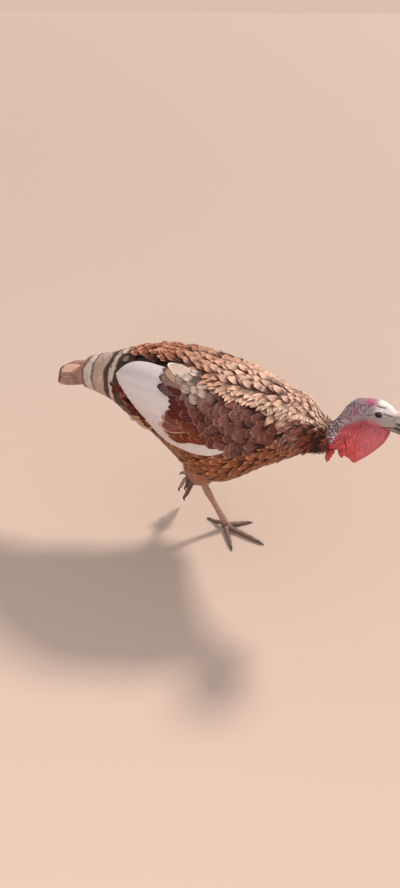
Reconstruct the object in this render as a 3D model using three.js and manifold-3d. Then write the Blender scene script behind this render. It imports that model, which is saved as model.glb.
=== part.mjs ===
// A domestic turkey tom, life-size, as a still museum model.
//
// The bird is caught in mid-stride: it stands on its right foot, the left foot has just left
// the ground behind it, and the head is stretched forward and a little down. Units are
// millimetres, +X is the way the bird walks, +Y its left side and +Z up. The origin is on the
// floor, under the middle of the standing foot.
//
// Every soft form is a loft: rings of points along a spine, closed at both ends. The trunk,
// rump and neck are lengths of one body loft, so that they meet face to face. The wings are
// shells that hug the body loft and are let into it.

import * as THREE from "three";
import { mergeVertices } from "three/addons/utils/BufferGeometryUtils.js";
import Module from "manifold-3d";

const wasm = await Module();
wasm.setup();

// ---------------------------------------------------------------- driving dimensions

const GAP = 0.3; // clearance between pieces that touch
const MIDLINE = 7; // the body's mid-plane, left of the standing foot's centre
const TAIL_ROOT = -398; // where the tail feathers spring from the rump
const COVERT_TIPS = -440; // how far the rump's own feathers reach back over them
const RUMP_FRONT = -112; // where the back becomes the rump
const NECK_ROOT = 163; // where the trunk becomes the neck
const COLLAR = 250; // where the neck's feathers end and bare skin starts

const AROUND = 24; // facets round the body
const RINGS = 22; // and along it
const FLAT = 0.9; // a toe's height over its width
const FLOOR_CUT = 1.2; // how deep the toe pads are flattened on the floor

// The body from the tail's root to the collar: the height of the middle line, and how far the
// form reaches above, below and to each side of it.
const BODY = [
  { x: COVERT_TIPS, z: 371, up: 9, down: 11, side: 30 },
  { x: -422, z: 374, up: 29, down: 30, side: 39 },
  { x: -402, z: 379, up: 41, down: 41, side: 43 },
  { x: -380, z: 383, up: 47, down: 49, side: 46 },
  { x: -330, z: 390, up: 56, down: 61, side: 56 },
  { x: -280, z: 395, up: 75, down: 80, side: 74 },
  { x: -230, z: 394, up: 95, down: 100, side: 94 },
  { x: -180, z: 391, up: 104, down: 113, side: 107 },
  { x: -130, z: 379, up: 117, down: 129, side: 120 },
  { x: -80, z: 361, up: 129, down: 146, side: 133 },
  { x: -30, z: 348, up: 140, down: 156, side: 142 },
  { x: 20, z: 344, up: 137, down: 149, side: 137 },
  { x: 60, z: 353, up: 121, down: 128, side: 117 },
  { x: 100, z: 364, up: 102, down: 105, side: 97 },
  { x: 136, z: 374, up: 86, down: 90, side: 83 },
  { x: 170, z: 384, up: 74, down: 71, side: 68 },
  { x: 200, z: 383, up: 55, down: 54, side: 51 },
  { x: 225, z: 379, up: 40, down: 39, side: 38 },
  { x: COLLAR, z: 375, up: 28, down: 29, side: 28 },
];

// ---------------------------------------------------------------- materials

const finish = (color, roughness, metalness = 0) =>
  new THREE.MeshStandardMaterial({ color, roughness, metalness });

const materials = {
  bodyFeather: finish(0x8a4a2c, 0.8),
  paleFeather: finish(0xd9d2cc, 0.75),
  coverFeather: finish(0x7a5046, 0.8),
  tailFeather: finish(0xa98468, 0.8),
  redSkin: finish(0xc23a3a, 0.5),
  paleSkin: finish(0xb8a6ac, 0.55),
  horn: finish(0x9b9488, 0.4),
  eye: finish(0x120c0a, 0.08),
  legScale: finish(0xa07a68, 0.5),
  claw: finish(0x3a2c26, 0.4),
};

// ---------------------------------------------------------------- making solids

// A closed geometry with merged vertices and its faces pointing out.
function closed(geometry) {
  const g = geometry.index ? geometry.clone() : mergeVertices(geometry);
  g.deleteAttribute("normal");
  g.deleteAttribute("uv");
  const merged = mergeVertices(g, 1e-3);
  const p = merged.attributes.position;
  const index = [];
  for (let i = 0; i < merged.index.count; i += 3) {
    const [a, b, c] = [0, 1, 2].map((k) => merged.index.getX(i + k));
    if (a !== b && b !== c && c !== a) index.push(a, b, c);
  }
  const [a, b, c] = [0, 1, 2].map(() => new THREE.Vector3());
  let volume = 0;
  for (let i = 0; i < index.length; i += 3) {
    a.fromBufferAttribute(p, index[i]);
    b.fromBufferAttribute(p, index[i + 1]);
    c.fromBufferAttribute(p, index[i + 2]);
    volume += a.dot(b.cross(c));
  }
  merged.setIndex(volume < 0 ? index.reverse() : index);
  return merged;
}

// A loft: place(t, angle) gives the point at t from 0 to 1 along it and at that angle round
// it. With flat ends, the first and last rings are closed by flat discs; otherwise place
// itself draws the ends in to a point.
function loft(around, along, place, flatEnds = false) {
  const g = new THREE.SphereGeometry(1, around, along);
  const p = g.attributes.position;
  const middle = new THREE.Vector3();
  for (let row = 0; row <= along; row++) {
    const end = row === 0 || row === along;
    const t = flatEnds
      ? THREE.MathUtils.clamp((row - 1) / (along - 2), 0, 1)
      : row / along;
    if (end) {
      middle.set(0, 0, 0);
      for (let k = 0; k < around; k++)
        middle.addScaledVector(place(t, (k / around) * 2 * Math.PI), 1 / around);
    }
    for (let column = 0; column <= around; column++) {
      const angle = ((column % around) / around) * 2 * Math.PI;
      const v = end ? middle : place(t, angle);
      p.setXYZ(row * (around + 1) + column, v.x, v.y, v.z);
    }
  }
  return closed(g);
}

const solid = (geometry) => {
  const g = closed(geometry);
  const numProp = 3;
  const vertProperties = new Float32Array(g.attributes.position.array);
  const triVerts = new Uint32Array(g.index.array);
  return new wasm.Manifold(new wasm.Mesh({ numProp, vertProperties, triVerts }));
};

function geometryOf(manifold) {
  const { vertProperties, triVerts, numProp } = manifold.getMesh();
  const points = new Float32Array((vertProperties.length / numProp) * 3);
  for (let i = 0; i < points.length / 3; i++)
    points.set(vertProperties.subarray(i * numProp, i * numProp + 3), i * 3);
  return new THREE.BufferGeometry()
    .setAttribute("position", new THREE.BufferAttribute(points, 3))
    .setIndex(new THREE.BufferAttribute(new Uint32Array(triVerts), 1));
}

// The largest closed body of a geometry: a cut can leave crumbs behind.
function mainBody(geometry) {
  const index = geometry.index.array;
  const root = Array.from({ length: geometry.attributes.position.count }, (_, i) => i);
  const find = (i) => {
    while (root[i] !== i) i = root[i] = root[root[i]];
    return i;
  };
  for (let i = 0; i < index.length; i += 3) {
    root[find(index[i + 1])] = find(index[i]);
    root[find(index[i + 2])] = find(index[i]);
  }
  const bodies = new Map();
  for (let i = 0; i < index.length; i += 3) {
    const body = find(index[i]);
    if (!bodies.has(body)) bodies.set(body, []);
    bodies.get(body).push(index[i], index[i + 1], index[i + 2]);
  }
  const biggest = [...bodies.values()].reduce((a, b) => (b.length > a.length ? b : a));
  const g = new THREE.BufferGeometry().setAttribute("position", geometry.attributes.position);
  return g.setIndex(biggest);
}

const cut = (body, ...tools) =>
  mainBody(geometryOf(tools.reduce((rest, tool) => rest.subtract(tool), body)));

const model = new THREE.Group();

function add(name, geometry, material, parent = model) {
  const mesh = new THREE.Mesh(geometry, material);
  mesh.name = name;
  parent.add(mesh);
  return mesh;
}

const at = (x, y, z) => new THREE.Vector3(x, y, z);
const slide = (geometry, x, y, z) => geometry.clone().translate(x, y, z);

// How thick a rounded form is at t, with round ends that are each `end` of its length.
const rounded = (t, end = 0.2) => {
  const d = Math.min(t, 1 - t) / end;
  return d >= 1 ? 1 : Math.sqrt(Math.max(0, 1 - (1 - d) ** 2));
};

// A smooth reading of one named size of a list of stations, at the x asked for.
function along(stations, key) {
  const points = stations.map((s) => new THREE.Vector2(s.x, s[key]));
  const curve = new THREE.SplineCurve(points);
  const table = curve.getPoints(stations.length * 12);
  return (x) => {
    const found = table.findIndex((p) => p.x >= x);
    const i = found < 0 ? table.length - 1 : Math.max(1, found);
    const [a, b] = [table[i - 1], table[i]];
    return a.y + ((b.y - a.y) * (x - a.x)) / (b.x - a.x);
  };
}

// ---------------------------------------------------------------- the body

const bodyAt = Object.fromEntries(
  ["z", "up", "down", "side"].map((key) => [key, along(BODY, key)]),
);

// A point of the body's surface, at x and at an angle from the top of the back: positive
// angles go down the left side. grow stands off from the surface. The section is a
// slightly squared ellipse, fuller in the breast than an ellipse is.
function bodyPoint(x, angle, grow = 0) {
  const [s, c] = [Math.sin(angle), Math.cos(angle)];
  const reach = (c > 0 ? bodyAt.up(x) : bodyAt.down(x)) + grow;
  const fullness = c > 0 ? 1.0 : 0.93;
  return new THREE.Vector3(
    x,
    MIDLINE + Math.sign(s) * Math.abs(s) ** fullness * (bodyAt.side(x) + grow),
    bodyAt.z(x) + Math.sign(c) * Math.abs(c) ** fullness * reach,
  );
}

const bodyLength = (from, to, around, rings, grow = 0) =>
  loft(around, rings, (t, a) => bodyPoint(from + (to - from) * t, a, grow), true);

// ---------------------------------------------------------------- wings

// A folded wing lies along the flank from the shoulder to the rump. Each part of it is a
// shell let into the body. Its edges are given as degrees down from the top of the back.
const WING_DEPTH = 12; // how deep the shell is let into the body
const WING_PROUD = 10; // how far it stands out at its middle

const WING = [
  { x: -285, top: 60, low: 64, proud: 2 },
  { x: -270, top: 47, low: 71, proud: 6 },
  { x: -228, top: 33, low: 86, proud: 10 },
  { x: -190, top: 29, low: 100, proud: 12 },
  { x: -158, top: 27, low: 111, proud: 13 },
  { x: -115, top: 25, low: 109, proud: 13 },
  { x: -70, top: 25, low: 101, proud: 13 },
  { x: -20, top: 29, low: 96, proud: 12 },
  { x: 50, top: 31, low: 92, proud: 10 },
  { x: 98, top: 38, low: 91, proud: 8 },
  { x: 134, top: 46, low: 86, proud: 5 },
  { x: 157, top: 56, low: 70, proud: 2 },
];
const WING_TIP = WING[0].x;
const WING_FRONT = WING.at(-1).x;
const COVERTS_END = -118; // where the coverts end and the flight feathers show

const wingAt = Object.fromEntries(
  ["top", "low", "proud"].map((key) => [key, along(WING, key)]),
);

// One part of a wing, between two places along the body. side is 1 for left, -1 for right.
// A cutting tool reaches beyond it as well.
function wingPart(from, to, side, grow = 0, beyond = 0) {
  const [rows, columns] = [Math.max(4, Math.round((to - from) / 34)), 5];
  const g = new THREE.BoxGeometry(1, 1, 1, rows, columns, 1);
  const p = g.attributes.position;
  for (let i = 0; i < p.count; i++) {
    const x = from - grow + (to - from + 2 * grow) * (p.getX(i) + 0.5);
    const across = p.getY(i) + 0.5;
    const edge = Math.sin(Math.PI * across ** 0.8);
    const spread = grow / bodyAt.side(x);
    const top = THREE.MathUtils.degToRad(wingAt.top(x)) - spread;
    const low = THREE.MathUtils.degToRad(wingAt.low(x)) + spread;
    const out = 1 + wingAt.proud(x) * (0.1 + 0.9 * edge) + grow + beyond;
    const depth = p.getZ(i) > 0 ? out : -WING_DEPTH - grow;
    const v = bodyPoint(x, side * (top + (low - top) * across), depth);
    p.setXYZ(i, v.x, v.y, v.z);
  }
  return closed(g);
}

const SIDES = [
  ["right", -1],
  ["left", 1],
];
const wingTools = [];
const WING_PARTS = [
  ["wing_coverts", COVERTS_END + GAP, WING_FRONT, materials.coverFeather],
  ["flight_feathers", WING_TIP, COVERTS_END, materials.paleFeather],
];
for (const [name, side] of SIDES)
  for (const [part, from, to, material] of WING_PARTS) {
    add(`${part}_${name}`, wingPart(from, to, side), material);
    wingTools.push(solid(wingPart(from, to, side, GAP)));
  }
for (const [, side] of SIDES) wingTools.push(solid(wingPart(WING_TIP, WING_FRONT, side, 0, 12)));

// ---------------------------------------------------------------- tail

// The closed tail: eighteen feathers stacked into one blade, roofed across and rounded at
// its end.
const TAIL_LENGTH = 110;
const TAIL_HALF_WIDTH = 45;
const TAIL_THICK = { root: 34, tip: 3 };
const TAIL_ROOF = 5; // how far its edges fall below its middle
const TAIL_DROP = 14; // how far its tip hangs below its root
const TAIL_ROLL = 15; // how far the blade is rolled, in degrees: its left edge is the higher

function tailBlade(grow) {
  const g = new THREE.BoxGeometry(1, 1, 1, 8, 8, 1);
  const p = g.attributes.position;
  for (let i = 0; i < p.count; i++) {
    const t = 0.5 - p.getX(i);
    const across = 2 * p.getY(i);
    const out = 2 * grow * Math.sign(across) * (Math.abs(across) > 0.99 ? 1 : 0);
    const length = TAIL_LENGTH * (1 - 0.16 * across * across);
    const width = TAIL_HALF_WIDTH * (0.86 + 0.22 * Math.sin(Math.PI * 0.62 * t));
    const thick = THREE.MathUtils.lerp(TAIL_THICK.root, TAIL_THICK.tip, t ** 0.7);
    const edge = 1 - 0.75 * across ** 4;
    const roll = Math.tan(THREE.MathUtils.degToRad(TAIL_ROLL)) * across * width;
    const roof = TAIL_ROOF * across * across * (0.7 + 0.3 * t);
    p.setXYZ(
      i,
      TAIL_ROOT - length * t + (t < 0.01 ? grow : 0),
      MIDLINE + across * width + out,
      376 - TAIL_DROP * t - roof + roll + p.getZ(i) * (thick * edge + 3 * grow),
    );
  }
  return closed(g);
}
add("tail", tailBlade(0), materials.tailFeather);
const tailTool = solid(tailBlade(GAP));

// ---------------------------------------------------------------- trunk, rump and neck

const body = solid(bodyLength(COVERT_TIPS, COLLAR, AROUND, RINGS));
const SLAB = 2000; // wider than the bird

// The length of the body between two places along it.
function lengthOf(from, to) {
  const slab = new THREE.BoxGeometry(to - from, SLAB, SLAB);
  return body.intersect(solid(slide(slab, (from + to) / 2, 0, 0)));
}

const rump = lengthOf(COVERT_TIPS, RUMP_FRONT);
add("rump", cut(rump, tailTool, ...wingTools), materials.bodyFeather);
add(
  "trunk",
  cut(lengthOf(RUMP_FRONT + GAP, NECK_ROOT), ...wingTools),
  materials.bodyFeather,
);
add(
  "neck",
  cut(lengthOf(NECK_ROOT + GAP, COLLAR), ...wingTools),
  materials.bodyFeather,
);

// ---------------------------------------------------------------- round limbs

// A tube through the given points, whose radius is read from a list of equal steps. flat
// squashes it across its own up direction, and grow makes it larger all round.
function limb(points, radii, { around, rings, flat = 1, end = 0.12, grow = 0 }) {
  const curve = new THREE.CatmullRomCurve3(points, false, "centripetal");
  const size = new THREE.SplineCurve(
    radii.map((r, i) => new THREE.Vector2(i / (radii.length - 1), r)),
  );
  const chord = points.at(-1).clone().sub(points[0]).normalize();
  const axes = [at(0, 0, 1), at(0, 1, 0), at(1, 0, 0)];
  const reference = axes.reduce((a, b) => (Math.abs(b.dot(chord)) < Math.abs(a.dot(chord)) ? b : a));
  const side = new THREE.Vector3();
  const up = new THREE.Vector3();
  return loft(around, rings, (t, angle) => {
    const eased = 0.5 - 0.5 * Math.cos(Math.PI * t);
    const u = 0.35 * eased + 0.65 * t;
    const tangent = curve.getTangentAt(u);
    side.crossVectors(reference, tangent).normalize();
    up.crossVectors(tangent, side);
    const radius = size.getPoint(u).y * rounded(t, end) + grow;
    return curve
      .getPointAt(u)
      .addScaledVector(tangent, (2 * t - 1) * grow)
      .addScaledVector(side, Math.sin(angle) * radius)
      .addScaledVector(up, Math.cos(angle) * radius * flat);
  });
}

// ---------------------------------------------------------------- legs and feet

// Each leg: the feathered thigh comes out of the belly and ends at the hock; the bare shank
// runs on to the root of the toes.
const LEGS = {
  right: { hock: at(-57, -11, 130), ankle: at(0, 0, 17) },
  left: { hock: at(-72, 44, 248), ankle: at(-118, 30, 117) },
};

const FLOOR = solid(slide(new THREE.BoxGeometry(SLAB, SLAB, 200), 0, 0, -100));
const bodyTool = solid(bodyLength(COVERT_TIPS, COLLAR, AROUND, RINGS, GAP));
const rightThigh = () =>
  limb([at(-38, -62, 262), at(-48, -54, 218), at(-58, -32, 178), at(-57, -12, 137)],
    [54, 40, 23, 14], { around: 14, rings: 8, end: 0.1 });
const leftThigh = () =>
  limb([at(-44, 70, 262), at(-56, 66, 228), at(-72, 54, 204), at(-88, 42, 184)],
    [52, 38, 24, 14], { around: 14, rings: 8, end: 0.1 });

// A toe of the given phalanges, each with its length and its pitch in degrees below level. A
// pad swells under every joint. On the floor the toe lies level on flattened pads instead.
// The claw goes on from its end.
function toe({ root, heading, pitches, lengths, radius, claw }) {
  const turn = THREE.MathUtils.degToRad(heading);
  const forward = (pitch) => {
    const fall = THREE.MathUtils.degToRad(pitch);
    return at(
      Math.cos(turn) * Math.cos(fall),
      Math.sin(turn) * Math.cos(fall),
      -Math.sin(fall),
    );
  };
  const slim = (i) => radius * (1 - 0.38 * (i / lengths.length));
  const points = [root.clone()];
  lengths.forEach((length, i) =>
    points.push(points.at(-1).clone().addScaledVector(forward(pitches?.[i] ?? 0), length)),
  );
  if (!pitches)
    points.forEach((p, i) => {
      if (i > 0) p.z = FLAT * slim(i) - FLOOR_CUT;
    });
  const radii = points.flatMap((_, i) =>
    i < lengths.length ? [slim(i), slim(i) * 0.84] : [slim(i)],
  );
  const tip = points.at(-1);
  const clawPoints = [0.06, 0.4, 0.72, 1].map((share, i) => {
    const pitch = pitches ? pitches.at(-1) + 10 + 9 * i : 0;
    const p = tip.clone().addScaledVector(forward(pitch), claw * share);
    if (!pitches) p.z = THREE.MathUtils.lerp(tip.z + 0.8, 1.6, share);
    return p;
  });
  const clawRadii = [0.44, 0.4, 0.28, 0.1].map((share) => share * radius);
  const toeForm = (grow) =>
    limb(points, radii, { around: 8, rings: 9, flat: FLAT, end: 0.08, grow });
  const clawForm = (grow) =>
    limb(clawPoints, clawRadii, { around: 6, rings: 6, end: 0.15, grow });
  return {
    toe: toeForm(0),
    toeTool: toeForm(GAP),
    claw: clawForm(0),
    clawTool: clawForm(GAP),
  };
}

// The standing foot's toes lie spread on the floor.
const TOE_RADIUS = 8.2;
const standing = [
  { name: "middle", heading: -7, lengths: [34, 28, 22, 12], radius: TOE_RADIUS, claw: 17, out: 10 },
  { name: "outer", heading: -53, lengths: [26, 18, 14, 10], radius: TOE_RADIUS * 0.92, claw: 15,
    out: 10 },
  { name: "inner", heading: 40, lengths: [26, 19, 11], radius: TOE_RADIUS * 0.92, claw: 14,
    out: 10 },
  { name: "hind", heading: 172, lengths: [24, 14], radius: TOE_RADIUS * 0.8, claw: 13, out: 11 },
];
// The lifted foot's toes hang, curled back.
const lifted = [
  { name: "middle", heading: -176, lengths: [34, 27, 18, 11], pitches: [64, 70, 68, 60],
    radius: TOE_RADIUS * 1.04, claw: 15, out: -12 },
  { name: "outer", heading: 160, lengths: [24, 17, 12, 9], pitches: [66, 74, 70, 60],
    radius: TOE_RADIUS * 0.86, claw: 13, out: 6 },
  { name: "inner", heading: -160, lengths: [25, 18, 11], pitches: [52, 66, 60],
    radius: TOE_RADIUS * 0.86, claw: 13, out: 8 },
  { name: "hind", heading: 178, lengths: [17, 10], pitches: [-14, 30],
    radius: TOE_RADIUS * 0.74, claw: 11, out: 9 },
];

const SHANK = [5.5, 9.6, 7.6, 7, 8, 9]; // its radius, from above the hock down
const KNUCKLE = 10.5; // the ball that the toes spring from

function shankForm({ hock, ankle }, grow) {
  const fall = ankle.clone().sub(hock).normalize();
  const stations = [
    hock.clone().addScaledVector(fall, -16),
    hock,
    hock.clone().lerp(ankle, 0.3),
    hock.clone().lerp(ankle, 0.75),
    ankle,
    ankle.clone().addScaledVector(fall, 7),
  ];
  const ball = new THREE.SphereGeometry(KNUCKLE + grow, 9, 6);
  const tube = limb(stations, SHANK, { around: 9, rings: 8, end: 0.08, grow });
  return solid(tube).add(solid(slide(ball, ankle.x, ankle.y, ankle.z - 8)));
}

for (const [name, toes, thigh] of [
  ["right", standing, rightThigh()],
  ["left", lifted, leftThigh()],
]) {
  const { ankle } = LEGS[name];
  const sleeve = shankForm(LEGS[name], GAP);
  add(`thigh_${name}`, cut(solid(thigh), bodyTool, sleeve, ...wingTools), materials.bodyFeather);
  add(`shank_${name}`, cut(shankForm(LEGS[name], 0), bodyTool, FLOOR), materials.legScale);
  const earlier = [sleeve];
  for (const shape of toes) {
    const turn = THREE.MathUtils.degToRad(shape.heading);
    const onFloor = shape.radius * FLAT + (shape.name === "hind" ? 6 : 1);
    const root = at(
      ankle.x + Math.cos(turn) * shape.out,
      ankle.y + Math.sin(turn) * shape.out,
      name === "right" ? onFloor : ankle.z - 5,
    );
    const piece = toe({ ...shape, root });
    const [toeTool, clawTool] = [solid(piece.toeTool), solid(piece.clawTool)];
    add(`toe_${shape.name}_${name}`, cut(solid(piece.toe), ...earlier, FLOOR), materials.legScale);
    const claw = cut(solid(piece.claw), ...earlier, toeTool, FLOOR);
    add(`claw_${shape.name}_${name}`, claw, materials.claw);
    earlier.push(toeTool, clawTool);
  }
}

// ---------------------------------------------------------------- bare neck and head

// The head has its own axis, through this point and dipping this much towards the bill.
const HEAD = { x: 331, z: 466.5, dip: 14 };

// A point of the head's frame: s along its axis towards the bill, up off it, and to the left.
function headPoint(s, up, left = 0) {
  const dip = THREE.MathUtils.degToRad(HEAD.dip);
  return at(
    HEAD.x + s * Math.cos(dip) + up * Math.sin(dip),
    MIDLINE + left,
    HEAD.z - s * Math.sin(dip) + up * Math.cos(dip),
  );
}

// A form of the head's frame, from stations that give its top, its bottom and its half-width.
function headForm(stations, around, rings, end, grow = 0, keel = 1) {
  const [top, bottom, side] = ["top", "bottom", "side"].map((key) => along(stations, key));
  const [from, to] = [stations[0].x, stations.at(-1).x];
  return loft(around, rings, (t, angle) => {
    const s = from + (to - from) * t;
    const size = rounded(t, end);
    const middle = (top(s) + bottom(s)) / 2;
    const half = ((top(s) - bottom(s)) / 2) * size + grow;
    const c = Math.cos(angle);
    const narrow = c < 0 ? 1 - (1 - keel) * c * c : 1;
    const wide = (side(s) * size + grow) * narrow;
    const dx = grow * (2 * t - 1) * (size < 0.5 ? 1 : 0);
    return headPoint(s + dx, middle + c * half, Math.sin(angle) * wide);
  });
}

const SKULL = [
  { x: -57, top: 2, bottom: -24, side: 13 },
  { x: -50, top: 9, bottom: -26, side: 17 },
  { x: -36, top: 17, bottom: -28, side: 21.5 },
  { x: -16, top: 27, bottom: -28, side: 24 },
  { x: 0, top: 33, bottom: -27, side: 24.5 },
  { x: 17, top: 32, bottom: -25, side: 22.5 },
  { x: 33, top: 26.5, bottom: -22, side: 17.5 },
  { x: 45, top: 18.5, bottom: -19.5, side: 13 },
  { x: 54, top: 12, bottom: -17, side: 10 },
];
const UPPER_BILL = [
  { x: 40, top: 17, bottom: -5.5, side: 12 },
  { x: 50, top: 14.5, bottom: -6.5, side: 11 },
  { x: 61, top: 10.5, bottom: -8.6, side: 9 },
  { x: 71, top: 4.5, bottom: -11, side: 7 },
  { x: 79, top: -2.5, bottom: -13, side: 5 },
  { x: 85, top: -9.5, bottom: -16, side: 3 },
];
const LOWER_BILL = [
  { x: 38, top: -9, bottom: -21, side: 11 },
  { x: 50, top: -7.4, bottom: -20.5, side: 9.6 },
  { x: 62, top: -9.5, bottom: -19.5, side: 7.6 },
  { x: 72, top: -12.2, bottom: -18.6, side: 5.2 },
  { x: 79, top: -14.4, bottom: -17.8, side: 3 },
];
const EYE = { s: 7, up: 13, out: 16.6, radius: 8 };
const EAR = { s: -19, up: -2, out: 20.5, long: 7.5, high: 6, thick: 4.2 };

const headSolid = solid(headForm(SKULL, 18, 12, 0.16));
const headTool = solid(headForm(SKULL, 18, 12, 0.16, GAP));
const upperBill = solid(headForm(UPPER_BILL, 10, 9, 0.1, 0, 0.95));
const upperTool = solid(headForm(UPPER_BILL, 10, 9, 0.1, GAP, 0.95));
const lowerBill = solid(headForm(LOWER_BILL, 10, 8, 0.1, 0, 0.8));

const eyeAt = (side, grow) => {
  const middle = headPoint(EYE.s, EYE.up, side * EYE.out);
  const ball = new THREE.SphereGeometry(EYE.radius + grow, 12, 8);
  return slide(ball, middle.x, middle.y, middle.z);
};
const earAt = (side, grow) => {
  const middle = headPoint(EAR.s, EAR.up, side * EAR.out);
  const dome = new THREE.SphereGeometry(1, 8, 5).scale(
    EAR.long + grow, EAR.thick + grow, EAR.high + grow);
  return slide(dome, middle.x, middle.y, middle.z);
};

// The bare neck climbs from the collar to the back of the head.
const neckSkinForm = (grow) =>
  limb(
    [at(226, MIDLINE, 372), at(250, MIDLINE, 382), at(272, MIDLINE, 408),
      at(287, MIDLINE, 440), at(296, MIDLINE, 472)],
    [20, 28.5, 27, 25.5, 22], { around: 14, rings: 9, end: 0.1, grow });
const neckSkin = solid(neckSkinForm(0));
const neckSkinTool = solid(neckSkinForm(GAP));

// The dewlap hangs from the chin to the root of the bare neck: thick where it springs from
// the throat, thin at its hanging edge.
const DEWLAP = [
  { x: 262, top: 376.5, low: 349, thick: 7 },
  { x: 272, top: 396.5, low: 345, thick: 11 },
  { x: 283, top: 416.5, low: 340, thick: 14 },
  { x: 295, top: 432.5, low: 335, thick: 15 },
  { x: 307, top: 444.5, low: 327.5, thick: 15 },
  { x: 322, top: 448.5, low: 343, thick: 15 },
  { x: 338, top: 448.5, low: 363, thick: 14 },
  { x: 352, top: 446.5, low: 384, thick: 12 },
  { x: 362, top: 442.5, low: 402, thick: 9.5 },
  { x: 369, top: 436.5, low: 421, thick: 6 },
];
const dewlapAt = Object.fromEntries(["top", "low", "thick"].map((k) => [k, along(DEWLAP, k)]));
const dewlapForm = (grow) =>
  loft(10, 13, (t, angle) => {
    const x = DEWLAP[0].x - grow + (DEWLAP.at(-1).x - DEWLAP[0].x + 2 * grow) * t;
    const size = rounded(t, 0.07);
    const [top, low] = [dewlapAt.top(x), dewlapAt.low(x)];
    const c = Math.cos(angle);
    const half = ((top - low) / 2) * size + grow;
    const taper = c < 0 ? 1 - 0.5 * c * c : 1;
    const wide = dewlapAt.thick(x) * size * taper + grow;
    return at(x, MIDLINE + Math.sin(angle) * wide, (top + low) / 2 + c * half);
  });
const dewlap = solid(dewlapForm(0));
const dewlapTool = solid(dewlapForm(GAP));

const collarTool = solid(bodyLength(COVERT_TIPS, COLLAR + GAP, AROUND, RINGS, GAP));
const eyeTools = SIDES.map(([, side]) => solid(eyeAt(side, GAP)));
const earTools = SIDES.map(([, side]) => solid(earAt(side, GAP)));

add("head", cut(headSolid, ...eyeTools, ...earTools), materials.paleSkin);
for (const [name, side] of SIDES) {
  add(`eye_${name}`, eyeAt(side, 0), materials.eye);
  add(`ear_${name}`, earAt(side, 0), materials.paleSkin);
}
add("bill_upper", cut(upperBill, headTool), materials.horn);
add("bill_lower", cut(lowerBill, headTool, upperTool), materials.horn);
add("neck_skin", cut(neckSkin, headTool, collarTool), materials.redSkin);
add("dewlap", cut(dewlap, headTool, collarTool, neckSkinTool, upperTool), materials.redSkin);

// The snood, drawn up into a small soft horn on the forehead.
const snood = limb(
  [headPoint(36, 17), headPoint(42, 22.5), headPoint(49, 22), headPoint(56, 16.5)],
  [5.5, 5.2, 4.2, 2.4], { around: 8, rings: 8, end: 0.2 });
add("snood", cut(solid(snood), headTool, upperTool), materials.redSkin);

// Red lobes at the root of the bare neck.
const LOBES = [
  { name: "right", root: at(253, MIDLINE - 7, 352), tip: at(248, MIDLINE - 8, 314), radius: 9 },
  { name: "left", root: at(253, MIDLINE + 9, 352), tip: at(251, MIDLINE + 13, 321), radius: 8 },
  { name: "middle", root: at(273, MIDLINE, 355), tip: at(280, MIDLINE - 2, 332), radius: 7 },
];
const earlierLobes = [];
for (const { name, root, tip, radius } of LOBES) {
  const form = (grow) =>
    limb([root, root.clone().lerp(tip, 0.35), root.clone().lerp(tip, 0.7), tip],
      [radius, radius * 0.9, radius * 0.66, radius * 0.3],
      { around: 8, rings: 6, end: 0.15, grow });
  const others = [headTool, collarTool, neckSkinTool, dewlapTool, ...earlierLobes];
  add(`caruncle_${name}`, cut(solid(form(0)), ...others), materials.redSkin);
  earlierLobes.push(solid(form(GAP)));
}

export default model;
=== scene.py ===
import math
from functools import partial

import bmesh
import bpy
import numpy as np
from mathutils import Euler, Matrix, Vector, noise
from mathutils.bvhtree import BVHTree


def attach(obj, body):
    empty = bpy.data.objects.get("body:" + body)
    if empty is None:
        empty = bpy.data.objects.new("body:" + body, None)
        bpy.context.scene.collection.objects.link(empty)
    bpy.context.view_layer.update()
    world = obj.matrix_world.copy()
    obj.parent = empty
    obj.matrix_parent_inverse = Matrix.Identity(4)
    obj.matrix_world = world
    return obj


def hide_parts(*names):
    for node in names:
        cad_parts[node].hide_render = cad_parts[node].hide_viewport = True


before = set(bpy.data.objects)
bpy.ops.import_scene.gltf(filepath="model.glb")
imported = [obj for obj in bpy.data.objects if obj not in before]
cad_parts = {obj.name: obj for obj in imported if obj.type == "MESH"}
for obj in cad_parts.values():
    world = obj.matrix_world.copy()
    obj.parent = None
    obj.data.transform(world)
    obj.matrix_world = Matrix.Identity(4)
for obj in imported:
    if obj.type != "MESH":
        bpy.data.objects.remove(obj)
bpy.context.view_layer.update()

scene = bpy.context.scene

# ---------------------------------------------------------------- camera
# A person's view of the bird: it looks down on its right side, from a little ahead of it and
# somewhat below a standing person's eyes, through a wide lens.

LENS, SENSOR = 24.32, 36  # both in millimetres
VIEWPOINT = (0.4915, -1.0925, 1.15)
TILT, HEADING = 54, 27.5  # degrees up from straight down, and left of straight across
lens = bpy.data.cameras.new("camera")
lens.lens = LENS
lens.sensor_width = SENSOR
lens.clip_end = 600
camera = bpy.data.objects.new("camera", lens)
camera.location = VIEWPOINT
camera.rotation_euler = Euler((math.radians(TILT), 0, math.radians(HEADING)))
scene.collection.objects.link(camera)
scene.camera = camera

# ---------------------------------------------------------------- floor and light
# A plain pale studio floor. A broad soft sun stands behind the bird's left shoulder, a large
# weaker lamp beside the camera, and the room round them is a soft white.

scene.view_settings.view_transform = "Standard"


def linear(code):
    """A colour written as six hexadecimal digits, as the shaders want it."""
    parts = [int(code[i:i + 2], 16) / 255 for i in (0, 2, 4)]
    return np.array([c / 12.92 if c <= 0.04045 else ((c + 0.055) / 1.055) ** 2.4 for c in parts])


def rgba(code):
    """The same colour, opaque."""
    return (*linear(code), 1.0)


def new_material(name, roughness=0.6):
    """A material, its node tree and its Principled shader."""
    material = bpy.data.materials.new(name)
    material.use_nodes = True
    tree = material.node_tree
    shader = tree.nodes["Principled BSDF"]
    shader.inputs["Roughness"].default_value = roughness
    return material, tree, shader


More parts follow.
